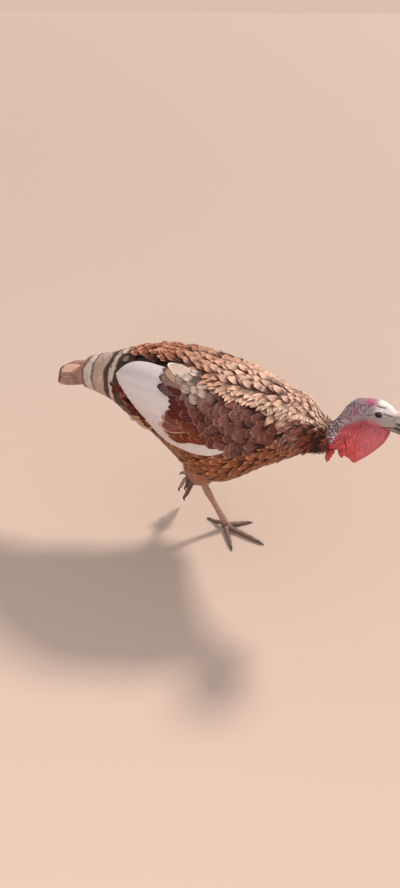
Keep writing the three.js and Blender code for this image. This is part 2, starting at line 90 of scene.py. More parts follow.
def node(tree, kind, **values):
    """A node with its settings and its inputs: names that match a socket set its value or link."""
    made = tree.nodes.new(kind)
    for name, value in values.items():
        if name in made.inputs.keys():
            if isinstance(value, bpy.types.NodeSocket):
                tree.links.new(value, made.inputs[name])
            else:
                made.inputs[name].default_value = value
        else:
            setattr(made, name, value)
    return made


def ramp(tree, factor, *stops):
    """A ColorRamp's output. Each stop is a place and a grey or a colour's code."""
    made = tree.nodes.new("ShaderNodeValToRGB")
    tree.links.new(factor, made.inputs[0])
    elements = made.color_ramp.elements
    while len(elements) < len(stops):
        elements.new(1.0)
    for element, (place, colour) in zip(elements, stops):
        element.position = place
        element.color = rgba(colour) if isinstance(colour, str) else (colour, colour, colour, 1)
    return made.outputs[0]


FLOOR_SIZE = 400.0
floor_mesh = bmesh.new()
bmesh.ops.create_grid(floor_mesh, x_segments=2, y_segments=2, size=FLOOR_SIZE / 2)
floor_data = bpy.data.meshes.new("floor")
floor_mesh.to_mesh(floor_data)
floor_mesh.free()
floor = bpy.data.objects.new("floor", floor_data)
scene.collection.objects.link(floor)
floor_paint, tree, shader = new_material("pale studio floor", 0.9)
shader.inputs["Base Color"].default_value = rgba("C0ADA2")
floor_data.materials.append(floor_paint)

world = bpy.data.worlds.new("studio")
world.use_nodes = True
sky = world.node_tree
direction = node(sky, "ShaderNodeTexCoord").outputs["Generated"]
height = node(sky, "ShaderNodeSeparateXYZ", Vector=direction).outputs["Z"]
LOW, HIGH = 0.03, 0.10  # the band over which the room's glow changes above its horizon
for socket, below, above in (("Color", "DBC0AF", "F3EEEA"), ("Strength", 1.0, 0.68)):
    sky.links.new(ramp(sky, height, (LOW, below), (HIGH, above)),
                  sky.nodes["Background"].inputs[socket])
scene.world = world


def soft_light(name, kind, place, aim, size, power, tint):
    """A sun, with its size in degrees, or a round lamp, with its size in metres."""
    light = bpy.data.lights.new(name, kind)
    if kind == "SUN":
        light.angle = math.radians(size)
    else:
        light.shape = "DISK"
        light.size = size
    light.energy = power
    light.color = linear(tint)
    lamp = bpy.data.objects.new(name, light)
    lamp.location = place
    lamp.rotation_euler = (Vector(aim) - Vector(place)).to_track_quat("-Z", "Y").to_euler()
    scene.collection.objects.link(lamp)


MIDDLE = (-0.05, 0.0, 0.3)
soft_light("key_light", "SUN", (0.37, 1.4, 1.66), MIDDLE, 9, 3.3, "FFF0E2")
soft_light("fill_light", "AREA", (0.9, -2.4, 1.5), MIDDLE, 1.0, 26, "FFF3EA")

# ---------------------------------------------------------------- skin
# The bird's skin is one piece from the bill to the toes. Under the plumage it is thin and
# lies beneath the feathers' roots; on the head, neck and dewlap it is bare, warty and folded;
# on the legs it is the tough hide that carries the scales.

MIDLINE = 0.007  # the body's mid-plane
BODY_FROM, BODY_TO = -0.440, 0.250  # the body's length, from the tail coverts to the collar
SPINE = [(-0.44, 0.371), (-0.33, 0.390), (-0.18, 0.391), (-0.08, 0.361), (-0.03, 0.350),
         (0.02, 0.346), (0.06, 0.353), (0.136, 0.374), (0.17, 0.384), (0.25, 0.375)]
COAT_DEPTH = 0.007  # how far the skin lies beneath the feathers
FEATHERED = ("trunk", "rump", "neck", "wing_coverts_right", "wing_coverts_left",
             "flight_feathers_right", "flight_feathers_left")


def spline(xs, ys):
    """A smooth reading of ys at any x between the first and last of xs."""
    xs, ys = np.array(xs, float), np.array(ys, float)
    slope = np.gradient(ys, xs)

    def read(x):
        x = np.clip(x, xs[0], xs[-1])
        i = np.clip(np.searchsorted(xs, x) - 1, 0, len(xs) - 2)
        h = xs[i + 1] - xs[i]
        t = (x - xs[i]) / h
        a = (1 + 2 * t) * (1 - t) ** 2 * ys[i] + t * (1 - t) ** 2 * h * slope[i]
        return a + t * t * (3 - 2 * t) * ys[i + 1] + t * t * (t - 1) * h * slope[i + 1]

    return read


spine = spline(*zip(*SPINE))

# The body's radius at each place along it and each angle from the top of the back, felt
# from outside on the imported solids. Positive angles go down the left side.
ALONG, ABOUT = 200, 144  # places and angles
OUTSIDE = 0.3  # how far from the axis each touch starts
feathered = bmesh.new()
for name in FEATHERED:
    feathered.from_mesh(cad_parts[name].data)
touch = BVHTree.FromBMesh(feathered)
girth = np.zeros((ALONG, ABOUT))
for i, x in enumerate(np.linspace(BODY_FROM + 0.0005, BODY_TO - 0.0005, ALONG)):
    for j in range(ABOUT):
        angle = 2 * math.pi * j / ABOUT
        out = Vector((0, math.sin(angle), math.cos(angle)))
        axis = Vector((x, MIDLINE, float(spine(x))))
        hit = touch.ray_cast(axis + out * OUTSIDE, -out)
        girth[i, j] = (hit[0] - axis).length if hit[0] else girth[i, j - 1]
feathered.free()
for _ in range(3):
    inner = girth[1:-1].copy()
    girth[1:-1] = (inner * 2 + girth[:-2] + girth[2:]) / 4
    girth = (girth * 2 + np.roll(girth, 1, 1) + np.roll(girth, -1, 1)) / 4


def radius_at(x, angle):
    """The body's radius, read between the places where it was felt."""
    u = (np.clip(x, BODY_FROM, BODY_TO) - BODY_FROM) / (BODY_TO - BODY_FROM) * (ALONG - 1)
    v = np.mod(angle / (2 * math.pi), 1.0) * ABOUT
    i = np.clip(np.floor(u).astype(int), 0, ALONG - 2)
    j = np.floor(v).astype(int)
    a, b = u - i, v - j
    j0, j1 = j % ABOUT, (j + 1) % ABOUT
    return ((girth[i, j0] * (1 - b) + girth[i, j1] * b) * (1 - a)
            + (girth[i + 1, j0] * (1 - b) + girth[i + 1, j1] * b) * a)


def on_body(x, angle, height):
    """Points on the body's plumage, standing off from it by height."""
    reach = radius_at(x, angle) + height
    return np.stack([x + 0 * reach, MIDLINE + np.sin(angle) * reach,
                     spine(x) + np.cos(angle) * reach], -1)


def closed_form(place, around, rings):
    """A closed skin: a ball whose rings are carried to place(t, angle)."""
    form = bmesh.new()
    bmesh.ops.create_uvsphere(form, u_segments=around, v_segments=rings, radius=1)
    t = np.array([math.acos(max(-1, min(1, v.co.z))) / math.pi for v in form.verts])
    angle = np.array([math.atan2(v.co.y, v.co.x) for v in form.verts])
    for vertex, point in zip(form.verts, place(t, angle)):
        vertex.co = point
    bmesh.ops.recalc_face_normals(form, faces=form.faces)
    return form


def rounded(t, end):
    """How full a rounded form is at t, with round ends that each take that share of it."""
    d = np.minimum(np.minimum(t, 1 - t) / end, 1)
    return np.sqrt(np.maximum(0, 1 - (1 - d) ** 2))


class Limb:
    """A round form along a bent line through points, in millimetres, with radii spread evenly
    along it: a neck, shank, toe, claw or lobe. flat is its height over its width, and end the
    share of it that each rounded end takes."""

    def __init__(self, points, radii, flat=1.0, *, end):
        points = np.array(points, float) / 1000
        ghost = np.vstack([2 * points[0] - points[1], points, 2 * points[-1] - points[-2]])
        line = []
        for p0, p1, p2, p3 in zip(ghost, ghost[1:], ghost[2:], ghost[3:]):
            d0, d1, d2 = (max(1e-5, np.linalg.norm(b - a)) ** 0.5
                          for a, b in ((p0, p1), (p1, p2), (p2, p3)))
            m1 = (p1 - p0) / d0 - (p2 - p0) / (d0 + d1) + (p2 - p1) / d1
            m2 = (p2 - p1) / d1 - (p3 - p1) / (d1 + d2) + (p3 - p2) / d2
            t = np.linspace(0, 1, 33)[:-1, None]
            m1, m2 = m1 * d1, m2 * d1
            line.append((2 * t**3 - 3 * t**2 + 1) * p1 + (t**3 - 2 * t**2 + t) * m1
                        + (3 * t**2 - 2 * t**3) * p2 + (t**3 - t**2) * m2)
        self.line = np.vstack([*line, points[-1:]])
        run = np.linalg.norm(np.diff(self.line, axis=0), axis=1)
        self.run = np.concatenate([[0], np.cumsum(run)])
        self.length = self.run[-1]
        self.size = spline(np.linspace(0, 1, len(radii)), np.array(radii) / 1000)
        self.flat, self.end = flat, end
        chord = points[-1] - points[0]
        axes = np.array([[0, 0, 1], [0, 1, 0], [1, 0, 0]])
        self.reference = axes[np.argmin(np.abs(axes @ chord))]

    def place(self, t, angle, grow=0.0):
        """Points at t from 0 to 1 along it, at that angle round it."""
        where = np.clip(t, 0, 1) * self.length
        middle = np.stack([np.interp(where, self.run, self.line[:, k]) for k in range(3)], -1)
        ahead, behind = (np.stack([np.interp(where + d, self.run, self.line[:, k])
                                   for k in range(3)], -1) for d in (0.001, -0.001))
        tangent = ahead - behind
        tangent /= np.linalg.norm(tangent, axis=-1, keepdims=True)
        side = np.cross(self.reference, tangent)
        side /= np.linalg.norm(side, axis=-1, keepdims=True)
        up = np.cross(tangent, side)
        reach = self.size(t) * rounded(t, self.end) + grow
        return (middle + side * (np.sin(angle) * reach)[..., None]
                + up * (np.cos(angle) * reach * self.flat)[..., None])

    def form(self, around=32, rings=60, grow=0.0):
        ease = lambda t: 0.35 * (0.5 - 0.5 * np.cos(np.pi * t)) + 0.65 * t
        return closed_form(lambda t, a: self.place(ease(t), a, grow), around, rings)


def gathered(forms):
    """Several forms in one, which are spent."""
    whole = bmesh.new()
    for form in forms:
        part = bpy.data.meshes.new("part")
        form.to_mesh(part)
        form.free()
        whole.from_mesh(part)
        bpy.data.meshes.remove(part)
    return whole


def grown_together(forms, voxel, ease):
    """Several closed forms grown into one closed skin of even faces about a voxel across,
    and smoothed that many times."""
    whole = gathered(forms)
    data = bpy.data.meshes.new("grown")
    whole.to_mesh(data)
    whole.free()
    holder = bpy.data.objects.new("grown", data)
    scene.collection.objects.link(holder)
    remesh = holder.modifiers.new("grow", "REMESH")
    remesh.mode = "VOXEL"
    remesh.voxel_size = voxel
    easing = holder.modifiers.new("ease", "SMOOTH")
    easing.iterations = ease
    easing.factor = 0.5
    result = bpy.data.meshes.new_from_object(
        holder.evaluated_get(bpy.context.evaluated_depsgraph_get()))
    bpy.data.objects.remove(holder)
    bpy.data.meshes.remove(data)
    skin = bmesh.new()
    skin.from_mesh(result)
    bpy.data.meshes.remove(result)
    return skin


def body_hide(t, angle):
    """The body beneath its coat."""
    x = BODY_FROM + 0.004 + (BODY_TO - BODY_FROM) * t
    depth = COAT_DEPTH * np.interp(x, [-0.44, -0.36, 0.16, 0.25], [0.5, 1, 1, 0.35])
    size = rounded(t, 0.03)
    return on_body(x, angle, -depth - (1 - size) * (radius_at(x, angle) - depth))


THIGHS = {
    "right": Limb([(-38, -62, 262), (-46, -54, 218), (-54, -32, 180), (-54, -12, 142)],
                  [54, 37, 19, 12], end=0.1),
    "left": Limb([(-44, 70, 262), (-56, 66, 228), (-72, 54, 204), (-88, 42, 184)],
                 [52, 38, 24, 14], end=0.1),
}
plumed = grown_together(
    [closed_form(body_hide, 120, 150)]
    + [thigh.form(grow=-0.006) for thigh in THIGHS.values()], voxel=0.006, ease=4)

# The head's own axis runs along s to the bill, dipping this much.
HEAD_PLACE, HEAD_DIP = np.array([0.331, MIDLINE, 0.4665]), math.radians(14)
HEAD_AXIS = np.array([math.cos(HEAD_DIP), 0, -math.sin(HEAD_DIP)])
HEAD_UP = np.array([math.sin(HEAD_DIP), 0, math.cos(HEAD_DIP)])


def head_point(s, up, left=0.0):
    """A point of the head, in millimetres along its axis, above it and to its left."""
    s, up, left = (np.asarray(k, float)[..., None] / 1000 for k in (s, up, left))
    return HEAD_PLACE + s * HEAD_AXIS + up * HEAD_UP + left * np.array([0, 1, 0])


def head_form(stations, end, keel=1.0, around=64, rings=72):
    """A form of the head from stations: s, top, bottom and half-width."""
    s_list, top, bottom, side = zip(*stations)
    top, bottom, side = (spline(s_list, k) for k in (top, bottom, side))

    def place(t, angle):
        s = s_list[0] + (s_list[-1] - s_list[0]) * t
        size = rounded(t, end)
        c = np.cos(angle)
        narrow = np.where(c < 0, 1 - (1 - keel) * c * c, 1)
        middle, half = (top(s) + bottom(s)) / 2, (top(s) - bottom(s)) / 2 * size
        return head_point(s, middle + c * half, np.sin(angle) * side(s) * size * narrow)

    return closed_form(place, around, rings)


SKULL = [(-57, 2, -24, 13), (-50, 9, -26, 17), (-36, 17, -28, 21.5), (-16, 27, -28, 24),
         (0, 33, -27, 24.5), (17, 32, -25, 22.5), (33, 26.5, -22, 17.5), (45, 18.5, -19.5, 13),
         (54, 12, -17, 10)]
NECK = Limb([(226, 7, 372), (250, 7, 382), (272, 7, 408), (287, 7, 440), (296, 7, 472)],
            [20, 28.5, 27, 25.5, 22], end=0.1)
SNOOD = [head_point(36, 15), head_point(42, 22.5), head_point(49, 22), head_point(56, 16.5)]
LOBES = [((253, 0, 352), (248, -1, 314), 9), ((253, 16, 352), (251, 20, 321), 8),
         ((273, 7, 355), (280, 5, 332), 7)]
# The dewlap: its top, its hanging edge and its half-thickness at each x.
DEWLAP = [(262, 376.5, 349, 7), (272, 396.5, 345, 11), (283, 416.5, 340, 14),
          (295, 432.5, 335, 15), (307, 444.5, 327.5, 15), (322, 448.5, 343, 15),
          (338, 448.5, 363, 14), (352, 446.5, 384, 12), (362, 442.5, 402, 9.5),
          (369, 436.5, 421, 6)]
dewlap_x, *dewlap_sizes = zip(*DEWLAP)
dewlap_top, dewlap_low, dewlap_thick = (spline(dewlap_x, k) for k in dewlap_sizes)


def dewlap_place(t, angle):
    """The dewlap's surface: a hanging sheet that thins towards its lower edge."""
    x = dewlap_x[0] + (dewlap_x[-1] - dewlap_x[0]) * t
    size = rounded(t, 0.07)
    c = np.cos(angle)
    half = (dewlap_top(x) - dewlap_low(x)) / 2 * size
    taper = np.where(c < 0, 1 - 0.5 * c * c, 1)
    return np.stack([x, 7 + np.sin(angle) * dewlap_thick(x) * size * taper,
                     (dewlap_top(x) + dewlap_low(x)) / 2 + c * half], -1) / 1000


def lobe(root, tip, radius):
    """A hanging wattle, narrowing to its tip."""
    root, tip = np.array(root), np.array(tip)
    return Limb([root + (tip - root) * k for k in (0, 0.35, 0.7, 1)],
                [radius * k for k in (1, 0.9, 0.66, 0.3)], end=0.15).form(24, 30)


bare = grown_together(
    [head_form(SKULL, 0.16), NECK.form(64, 90), closed_form(dewlap_place, 56, 90),
     Limb([1000 * p for p in SNOOD], [5.5, 5.2, 4.2, 2.4], end=0.2).form(24, 30)]
    + [lobe(*sizes) for sizes in LOBES], voxel=0.00112, ease=5)


def smooth(value, low, high):
    """0 below low, 1 above high and an even rise between; the other way round if low is higher."""
    t = np.clip((np.asarray(value, float) - low) / (high - low), 0, 1)
    return t * t * (3 - 2 * t)


def grain(points, size, octaves=2, seed=0.0):
    """Smooth noise from -1 to 1 at each point, with features of the given size."""
    shift = Vector((seed, seed * 1.7, -seed))
    return np.array([noise.fractal(Vector(p) / size + shift, 1.0, 2.0, octaves) for p in points])


def cells(points, size):
    """The distance from each point to the nearest of many scattered seeds, in seed spacings."""
    return np.array([noise.voronoi(Vector(p) / size)[0][0] for p in points])


def read_points(form):
    """A form's points and the directions in which they face."""
    form.verts.ensure_lookup_table()
    form.normal_update()
    return (np.array([v.co for v in form.verts]), np.array([v.normal for v in form.verts]))


def write_points(form, points):
    """Carries a form's points to new places."""
    for vertex, point in zip(form.verts, points):
        vertex.co = point


def blend(first, *layers):
    """Colours laid over each other: a first one, then pairs of a weight and a colour."""
    colour = linear(first)
    for weight, code in layers:
        colour = colour + (linear(code) - colour) * np.clip(weight, 0, 1)[:, None]
    return colour


# The head: close-set warts on the nape, fine upright folds on the dewlap, deep ones at the
# neck's root, rings on the snood, a line over each eye and a crease behind the bill. The eye's
# place and size are in millimetres along the head's axis, above it and out from it.
EYE = {"s": 7.0, "up": 13.0, "out": 16.6, "radius": 8.0}
LID_LONG, LID_HIGH = 6.6, 5.1  # half the opening of the lids
points, normals = read_points(bare)
local = (points - HEAD_PLACE) * 1000
s, up, left = local @ HEAD_AXIS, local @ HEAD_UP, local[:, 1]
x, z = points[:, 0] * 1000, points[:, 2] * 1000
red_line = np.interp(x, [240, 256, 266, 276, 295, 316, 333, 345, 356, 375],
                     [360, 380, 410, 433, 450, 459, 462, 457, 449, 445])
wobble = grain(points, 0.009, 2)
red = smooth(red_line - z + 5 * wobble, -5, 6)
on_dewlap = red * smooth(z, 446, 436)
nape = (1 - red) * smooth(s, 4, -14)
warts = np.sqrt(np.clip(1 - (cells(points, 0.0036) / 0.62) ** 2, 0, 1))
pleats = np.array([abs(noise.noise(Vector((px / 3.1 + 0.5 * pw, py / 9, pz / 26))))
                   for px, py, pz, pw in zip(x, local[:, 1], z, wobble)])
at_root = red * smooth(x, 292, 268) * smooth(z, 412, 392)
folds = np.sin((0.75 * x - 0.55 * z + 7 * wobble) / 2.3)
on_snood = smooth(s, 38, 43) * smooth(up - (18 - 0.35 * (s - 45)), 0.5, 3) * (1 - red)
mouth_line = np.interp(s, [20, 27, 33, 38, 46], [-14, -12.5, -9.8, -7.7, -6.8])
crease = np.exp(-((up - mouth_line) / 1.1) ** 2) * smooth(s, 19, 26)
outer = smooth(np.abs(left), 8, 12)
brow = np.exp(-((up - 27.5 - 0.12 * s) / 1.5) ** 2) * outer * smooth(s, -8, -1) * smooth(s, 19, 12)
eye_line = np.exp(-((up - 20 + 0.07 * (s - 15)) / 1.1) ** 2)
eye_line = eye_line * smooth(s, 11, 16) * smooth(s, 38, 30)
broad = smooth(np.abs(normals[:, 1]), 0.35, 0.8)
rear_fold = np.exp(-((x - np.interp(z, [355, 396, 420], [288, 282, 279])) / 1.3) ** 2) * (
    smooth(z, 350, 362) * smooth(z, 428, 402) * red)
swell = (0.85 * nape * warts + on_dewlap * broad * (0.6 - 2.2 * pleats) + 1.1 * at_root * folds
         + 0.35 * on_snood * np.sin(s * 2.6) - 1.3 * crease - 1.0 * brow - 0.7 * eye_line
         - 2.2 * rear_fold + 0.16 * grain(points, 0.0022))
points = points + normals * (swell / 1000)[:, None]

# The hide inside the lids draws back behind the eyeball.
BEHIND_BALL = 1.6
ahead, above = s - EYE["s"], up - EYE["up"]
reach = np.sqrt((ahead / LID_LONG) ** 2 + (above / LID_HIGH) ** 2)
ball = EYE["out"] + np.sqrt(np.clip(EYE["radius"] ** 2 - ahead**2 - above**2, 0.5, None))
sunk = (np.abs(left) > 11) & (reach < 1.25)
inward = np.minimum(np.abs(left), ball - BEHIND_BALL)
pull = smooth(reach, 1.25, 1.0)
drawn = MIDLINE + np.sign(left) * (np.abs(left) * (1 - pull) + inward * pull) / 1000
points[sunk, 1] = drawn[sunk]
write_points(bare, points)

spots = smooth(grain(points, 0.006, 2, 3.0), 0.02, 0.22)
crown = smooth(up, 12, 26) * smooth(s, -14, 4)
flush = np.clip(np.exp(-(((s + 25) / 14) ** 2 + ((up - 27) / 8) ** 2)) * 1.6, 0, 1)
patch = np.clip(np.exp(-(((s + 36) / 6) ** 2 + ((up + 5) / 11) ** 2))
                + 0.8 * np.exp(-(((s + 43) / 9) ** 2 + ((up + 25) / 3.5) ** 2)), 0, 1) * (1 - red)
lores = smooth(s, 10, 20) * smooth(up, 24, 15) * (1 - red)
cheek = np.exp(-(((s - 6) / 13) ** 2 + ((up + 12) / 9) ** 2))
deep = smooth(z, 425, 368) * smooth(x, 330, 296)
rim = smooth(x - np.interp(z, [350, 384, 402, 436], [330, 352, 362, 369]), -9, 0)
collared = smooth(x, 282, 262) * (1 - red) * smooth(z, 458, 436)
speckle = smooth(cells(points, 0.0044), 0.40, 0.26) * smooth(z, 462, 440) * smooth(x, 292, 272)
head_tone = blend("94868F",
    # Painted shade between the nape's warts, and a painted highlight on their tops.
    (nape * (1 - warts) * 0.8, "5A4854"),
    (nape * warts * 0.45, "BDB0B6"),
    (collared * (1 - speckle) * 0.7, "5C3A44"),
    (nape * speckle, "EEE6E8"),
    # The crown's own pale skin, painted whiter over the top of the head as a painted highlight.
    (crown, "EFE6E6"),
    (lores * 0.8, "9C9591"),
    (flush * (0.35 + 0.65 * spots) * (1 - red), "C04A7C"),
    (patch * (0.4 + 0.6 * warts), "A84A74"),
    (red, "A5545E"),
    (cheek * 0.75 * smooth(up, 3, -6), "C27F76"),
    (on_dewlap * smooth(z, 440, 415), "D06E78"),
    (on_dewlap * deep, "F4665E"),
    (at_root * 0.6, "CE4244"),
    # Painted shade in the grooves of the folds at the neck's root.
    (at_root * smooth(folds, 0.0, -0.8) * 0.8, "8E2228"),
    # Painted shade along the dewlap's front rim.
    (on_dewlap * rim * 0.7, "9A4254"),
    # Painted shade in the grooves between the dewlap's pleats.
    (on_dewlap * smooth(pleats, 0.02, 0.16) * (0.35 + 0.4 * smooth(x, 335, 300)), "9E3240"),
    # Painted shade in the fold behind the dewlap.
    (rear_fold * 0.9, "84161E"),
    # A painted highlight on the skin just above the crease behind the bill.
    (np.exp(-((up - mouth_line - 4) / 1.8) ** 2) * smooth(s, 22, 30) * 0.5, "CFC6C2"),
    # Painted shade in the crease behind the bill.
    (np.clip(1.5 * crease ** 0.4, 0, 1) * smooth(s, 21, 27) * 0.95, "281519"),
    # Painted shade in the groove over each eye.
    (brow * 0.9, "3C3038"),
    # Painted shade in the groove from the eye towards the bill.
    (np.clip(1.3 * eye_line, 0, 1) * 0.9, "40363C"),
    (on_snood * 0.8, "D2BEBE"))
head_tone *= 1 + 0.10 * wobble[:, None]

# The lids: a rolled lip hugging the eyeball, spread to the skin around it. Each ring's share of
# the opening and how proud of the eyeball it stands.
LID_RINGS = [(0.90, -0.5), (0.93, 0.25), (1.0, 0.75), (1.1, 0.95), (1.22, 0.7), (1.42, -0.1),
             (1.7, -1.6)]
lids = bmesh.new()
for side in (-1, 1):
    loop = bmesh.ops.create_circle(lids, segments=56, radius=1)["verts"]
    angles = np.array([math.atan2(v.co.y, v.co.x) for v in loop])
    for k, (wide, proud) in enumerate(LID_RINGS):
        if k:
            edges = list({e for v in loop for e in v.link_edges
                          if all(w in set(loop) for w in e.verts)})
            grown = bmesh.ops.extrude_edge_only(lids, edges=edges)["geom"]
            old = {tuple(v.co): i for i, v in enumerate(loop)}
            fresh = [v for v in grown if isinstance(v, bmesh.types.BMVert)]
            loop = sorted(fresh, key=lambda v: old[tuple(v.co)])
        ahead = LID_LONG * wide * np.cos(angles) * (1 + 0.14 * np.abs(np.cos(angles)) ** 3)
        above = LID_HIGH * wide * np.sin(angles) * (1 - 0.12 * (np.sin(angles) > 0))
        bulge = np.sqrt(np.clip(EYE["radius"] ** 2 - ahead**2 - above**2, 2, None))
        out = side * (EYE["out"] + bulge + proud)
        for v, place in zip(loop, head_point(EYE["s"] + ahead, EYE["up"] + above, out)):
            v.co = place
bmesh.ops.recalc_face_normals(lids, faces=lids.faces)
lid_points, _ = read_points(lids)
lid_local = (lid_points - HEAD_PLACE) * 1000
lid_reach = np.sqrt(((lid_local @ HEAD_AXIS - EYE["s"]) / LID_LONG) ** 2
                    + ((lid_local @ HEAD_UP - EYE["up"]) / LID_HIGH) ** 2)
lid_tone = blend("3A2E34", (smooth(lid_reach, 1.02, 1.3), "85767F"))

# Legs: a shank from above the hock to the ankle, the ball of the foot, and the toes. Here a
# toe's radius, its height over its width, its sole's flattening and the ball's radius, then
# each leg's hock and ankle.
TOE, FLAT, PRESSED, BALL = 8.2, 0.9, 1.2, 10.5
LEGS = {"right": (np.array([-57, -11, 130.0]), np.array([0, 0, 17.0])),
        "left": (np.array([-72, 44, 248.0]), np.array([-118, 30, 117.0]))}
# Each toe: its heading, its phalanges, its radius, its claw's length and how far out its
# root is; a lifted toe also has the pitch of each phalanx below level.
TOES = {
    "right": {"middle": (-7, (34, 28, 22, 12), TOE, 17, 10, None),
              "outer": (-53, (26, 18, 14, 10), TOE * 0.92, 15, 10, None),
              "inner": (40, (26, 19, 11), TOE * 0.92, 14, 10, None),
              "hind": (172, (24, 14), TOE * 0.8, 13, 11, None)},
    "left": {"middle": (-176, (34, 27, 18, 11), TOE * 1.04, 15, -12, (64, 70, 68, 60)),
             "outer": (160, (24, 17, 12, 9), TOE * 0.86, 13, 6, (66, 74, 70, 60)),
             "inner": (-160, (25, 18, 11), TOE * 0.86, 13, 8, (52, 66, 60)),
             "hind": (178, (17, 10), TOE * 0.74, 11, 9, (-14, 30))},
}


def toe_lines(leg, name):
    """A toe's and its claw's limbs."""
    heading, lengths, radius, claw, out, pitches = TOES[leg][name]
    ankle, turn = LEGS[leg][1], math.radians(heading)

    def forward(pitch):
        fall = math.radians(pitch)
        return np.array([math.cos(turn) * math.cos(fall), math.sin(turn) * math.cos(fall),
                         -math.sin(fall)])

    def slim(i):
        return radius * (1 - 0.38 * i / len(lengths))

    low = radius * FLAT + (6 if name == "hind" else 1)
    line = [np.array([ankle[0] + math.cos(turn) * out, ankle[1] + math.sin(turn) * out,
                      low if pitches is None else ankle[2] - 5])]
    for i, length in enumerate(lengths):
        line.append(line[-1] + forward(pitches[i] if pitches else 0) * length)
    if pitches is None:
        for i in range(1, len(line)):
            line[i][2] = FLAT * slim(i) - PRESSED
    radii = [r for i in range(len(lengths)) for r in (slim(i), slim(i) * 0.84)]
    tip, horn = line[-1], []
    for i, share in enumerate((-0.30, 0.25, 0.66, 1)):
        p = tip + forward(pitches[-1] + 10 + 9 * i if pitches else 0) * claw * share
        if pitches is None:
            p[2] = tip[2] + 0.8 + (1.6 - tip[2] - 0.8) * share
        horn.append(p)
    return (Limb(line, [*radii, slim(len(lengths))], FLAT, end=0.08),
            Limb(horn, [radius * k for k in (0.5, 0.44, 0.3, 0.07)], end=0.15))


shanks, toes, claws = {}, {}, {}
leg_forms = []
for leg, (hock, ankle) in LEGS.items():
    fall = (ankle - hock) / np.linalg.norm(ankle - hock)
    shanks[leg] = Limb([hock - fall * 16, hock, hock + (ankle - hock) * 0.3,
                        hock + (ankle - hock) * 0.75, ankle, ankle + fall * 7],
                       [5.5, 9.6, 7.6, 7, 8, 9], end=0.08)
    leg_forms.append(shanks[leg].form(40, 80))
    knuckle = bmesh.new()
    bmesh.ops.create_uvsphere(knuckle, u_segments=24, v_segments=16, radius=BALL / 1000)
    bmesh.ops.translate(knuckle, verts=knuckle.verts, vec=Vector((ankle - [0, 0, 8]) / 1000))
    leg_forms.append(knuckle)
    for name in TOES[leg]:
        toes[leg, name], claws[leg, name] = toe_lines(leg, name)
        leg_forms.append(toes[leg, name].form(28, 60))
legs = grown_together(leg_forms, voxel=0.0015, ease=3)
points, normals = read_points(legs)
pads = smooth(cells(points, 0.0026), 0.55, 0.1) * smooth(normals[:, 2], 0.2, -0.5)
points = points + normals * (0.35 * pads + 0.12 * grain(points, 0.002))[:, None] / 1000
points[:, 2] = np.maximum(points[:, 2], 0.0)
write_points(legs, points)
on_toes = np.where(points[:, 1] * 1000 > 20, smooth(points[:, 2], 0.128, 0.105),
                   smooth(points[:, 2], 0.024, 0.014))
# The shanks are painted darker on their back and underside, the toes paler on top and darker
# beneath: painted shade and painted highlights, over the toes' own darker brown.
rear = smooth(normals @ np.array([-0.9, 0, -0.4]), 0.2, 0.8)
leg_tone = blend("B58B79",
                 (rear * 0.7, "5E4238"),
                 (on_toes, "6E5248"),
                 (on_toes * smooth(normals[:, 2], 0.3, 0.9) * 0.6, "A58C80"),
                 (on_toes * smooth(normals[:, 2], 0.0, -0.6), "4A362E"))
leg_tone *= 1 + 0.15 * grain(points, 0.006)[:, None]


def plumage(x, angle):
    """The markings that skin and plumage share, at metres along the body and radians from the
    top of the back: a ground colour, and the colour of each feather's edge. Part of it is
    painted light: the top of the back is paler, and the sides darker and more purple, than the
    plumage's own colours, as painted light on top and painted shade on the sides; the near-black
    band along the rump is partly painted shadow. Each layer below has its weight and what it
    lays on the ground, on the edge or on both."""
    x = np.asarray(x, float) * 1000
    a = np.abs(np.degrees((np.asarray(angle, float) + np.pi) % (2 * np.pi) - np.pi))
    side = smooth(a, 34, 50)
    below = smooth(a, 84, 104)
    behind = smooth(x, -96, -140)
    stripe = behind * smooth(a, 13, 17)
    fore = smooth(x, 165, 195)
    neck_side = fore * smooth(a, 34, 44)
    rings = 0.5 + 0.5 * np.sin(x * 0.72)
    # The pale first ground and the back's top are painted lighter than the plumage's own colour, as
    # painted light from above; the sides are painted darker and more purple, as painted shade.
    layers = [
        (smooth(x, 20, -70) * (1 - side), "CC997E", None),
        (side, "74463C", "B79388"),
        (below, "96522F", "B9835A"),
        (behind * (1 - below), "965640", "C89A7E"),
        # Where the rump meets the top of the wing: partly dark feather edges, partly painted
        # shadow.
        (stripe, "220A06", None),
        (stripe * (1 - smooth(a, 60, 75)), None, "1A0805"),
        (behind * smooth(a, 45, 60), "5E231C", None),
        (below * smooth(x, -40, -110) * smooth(a, 112, 125), "AE7F6B", "CFAE9A"),
        (below * smooth(x, -150, -190), "C69B6E", "AF8258"),
        (smooth(x, -250, -275) * (1 - below), "C9B8AC", "5A4038"),
        (smooth(x, -215, -232) * smooth(x, -282, -268) * smooth(a, 52, 62), "4A1C14", None),
        (fore * (1 - neck_side), "EFCCB6", "A8745C"),
        (neck_side, "803E2A", "8A4A34"),
        (neck_side * smooth(x, 203, 212) * rings, "260F0B", "30130D"),
        (smooth(x, 230, 242) * smooth(a, 30, 55), "A04C42", None),
        (smooth(x, 236, 246) * smooth(a, 55, 30), "7E5248", None),
        (smooth(x, 234, 246), None, "8A5A50")]
    return tuple(blend(first, *((weight, codes[k]) for weight, *codes in layers if codes[k]))
                 for k, first in enumerate(("E9C0AB", "8C5A42")))


points, _ = read_points(plumed)
around = np.arctan2(points[:, 1] - MIDLINE, points[:, 2] - spine(points[:, 0]))
hide_tone, _ = plumage(points[:, 0], around)

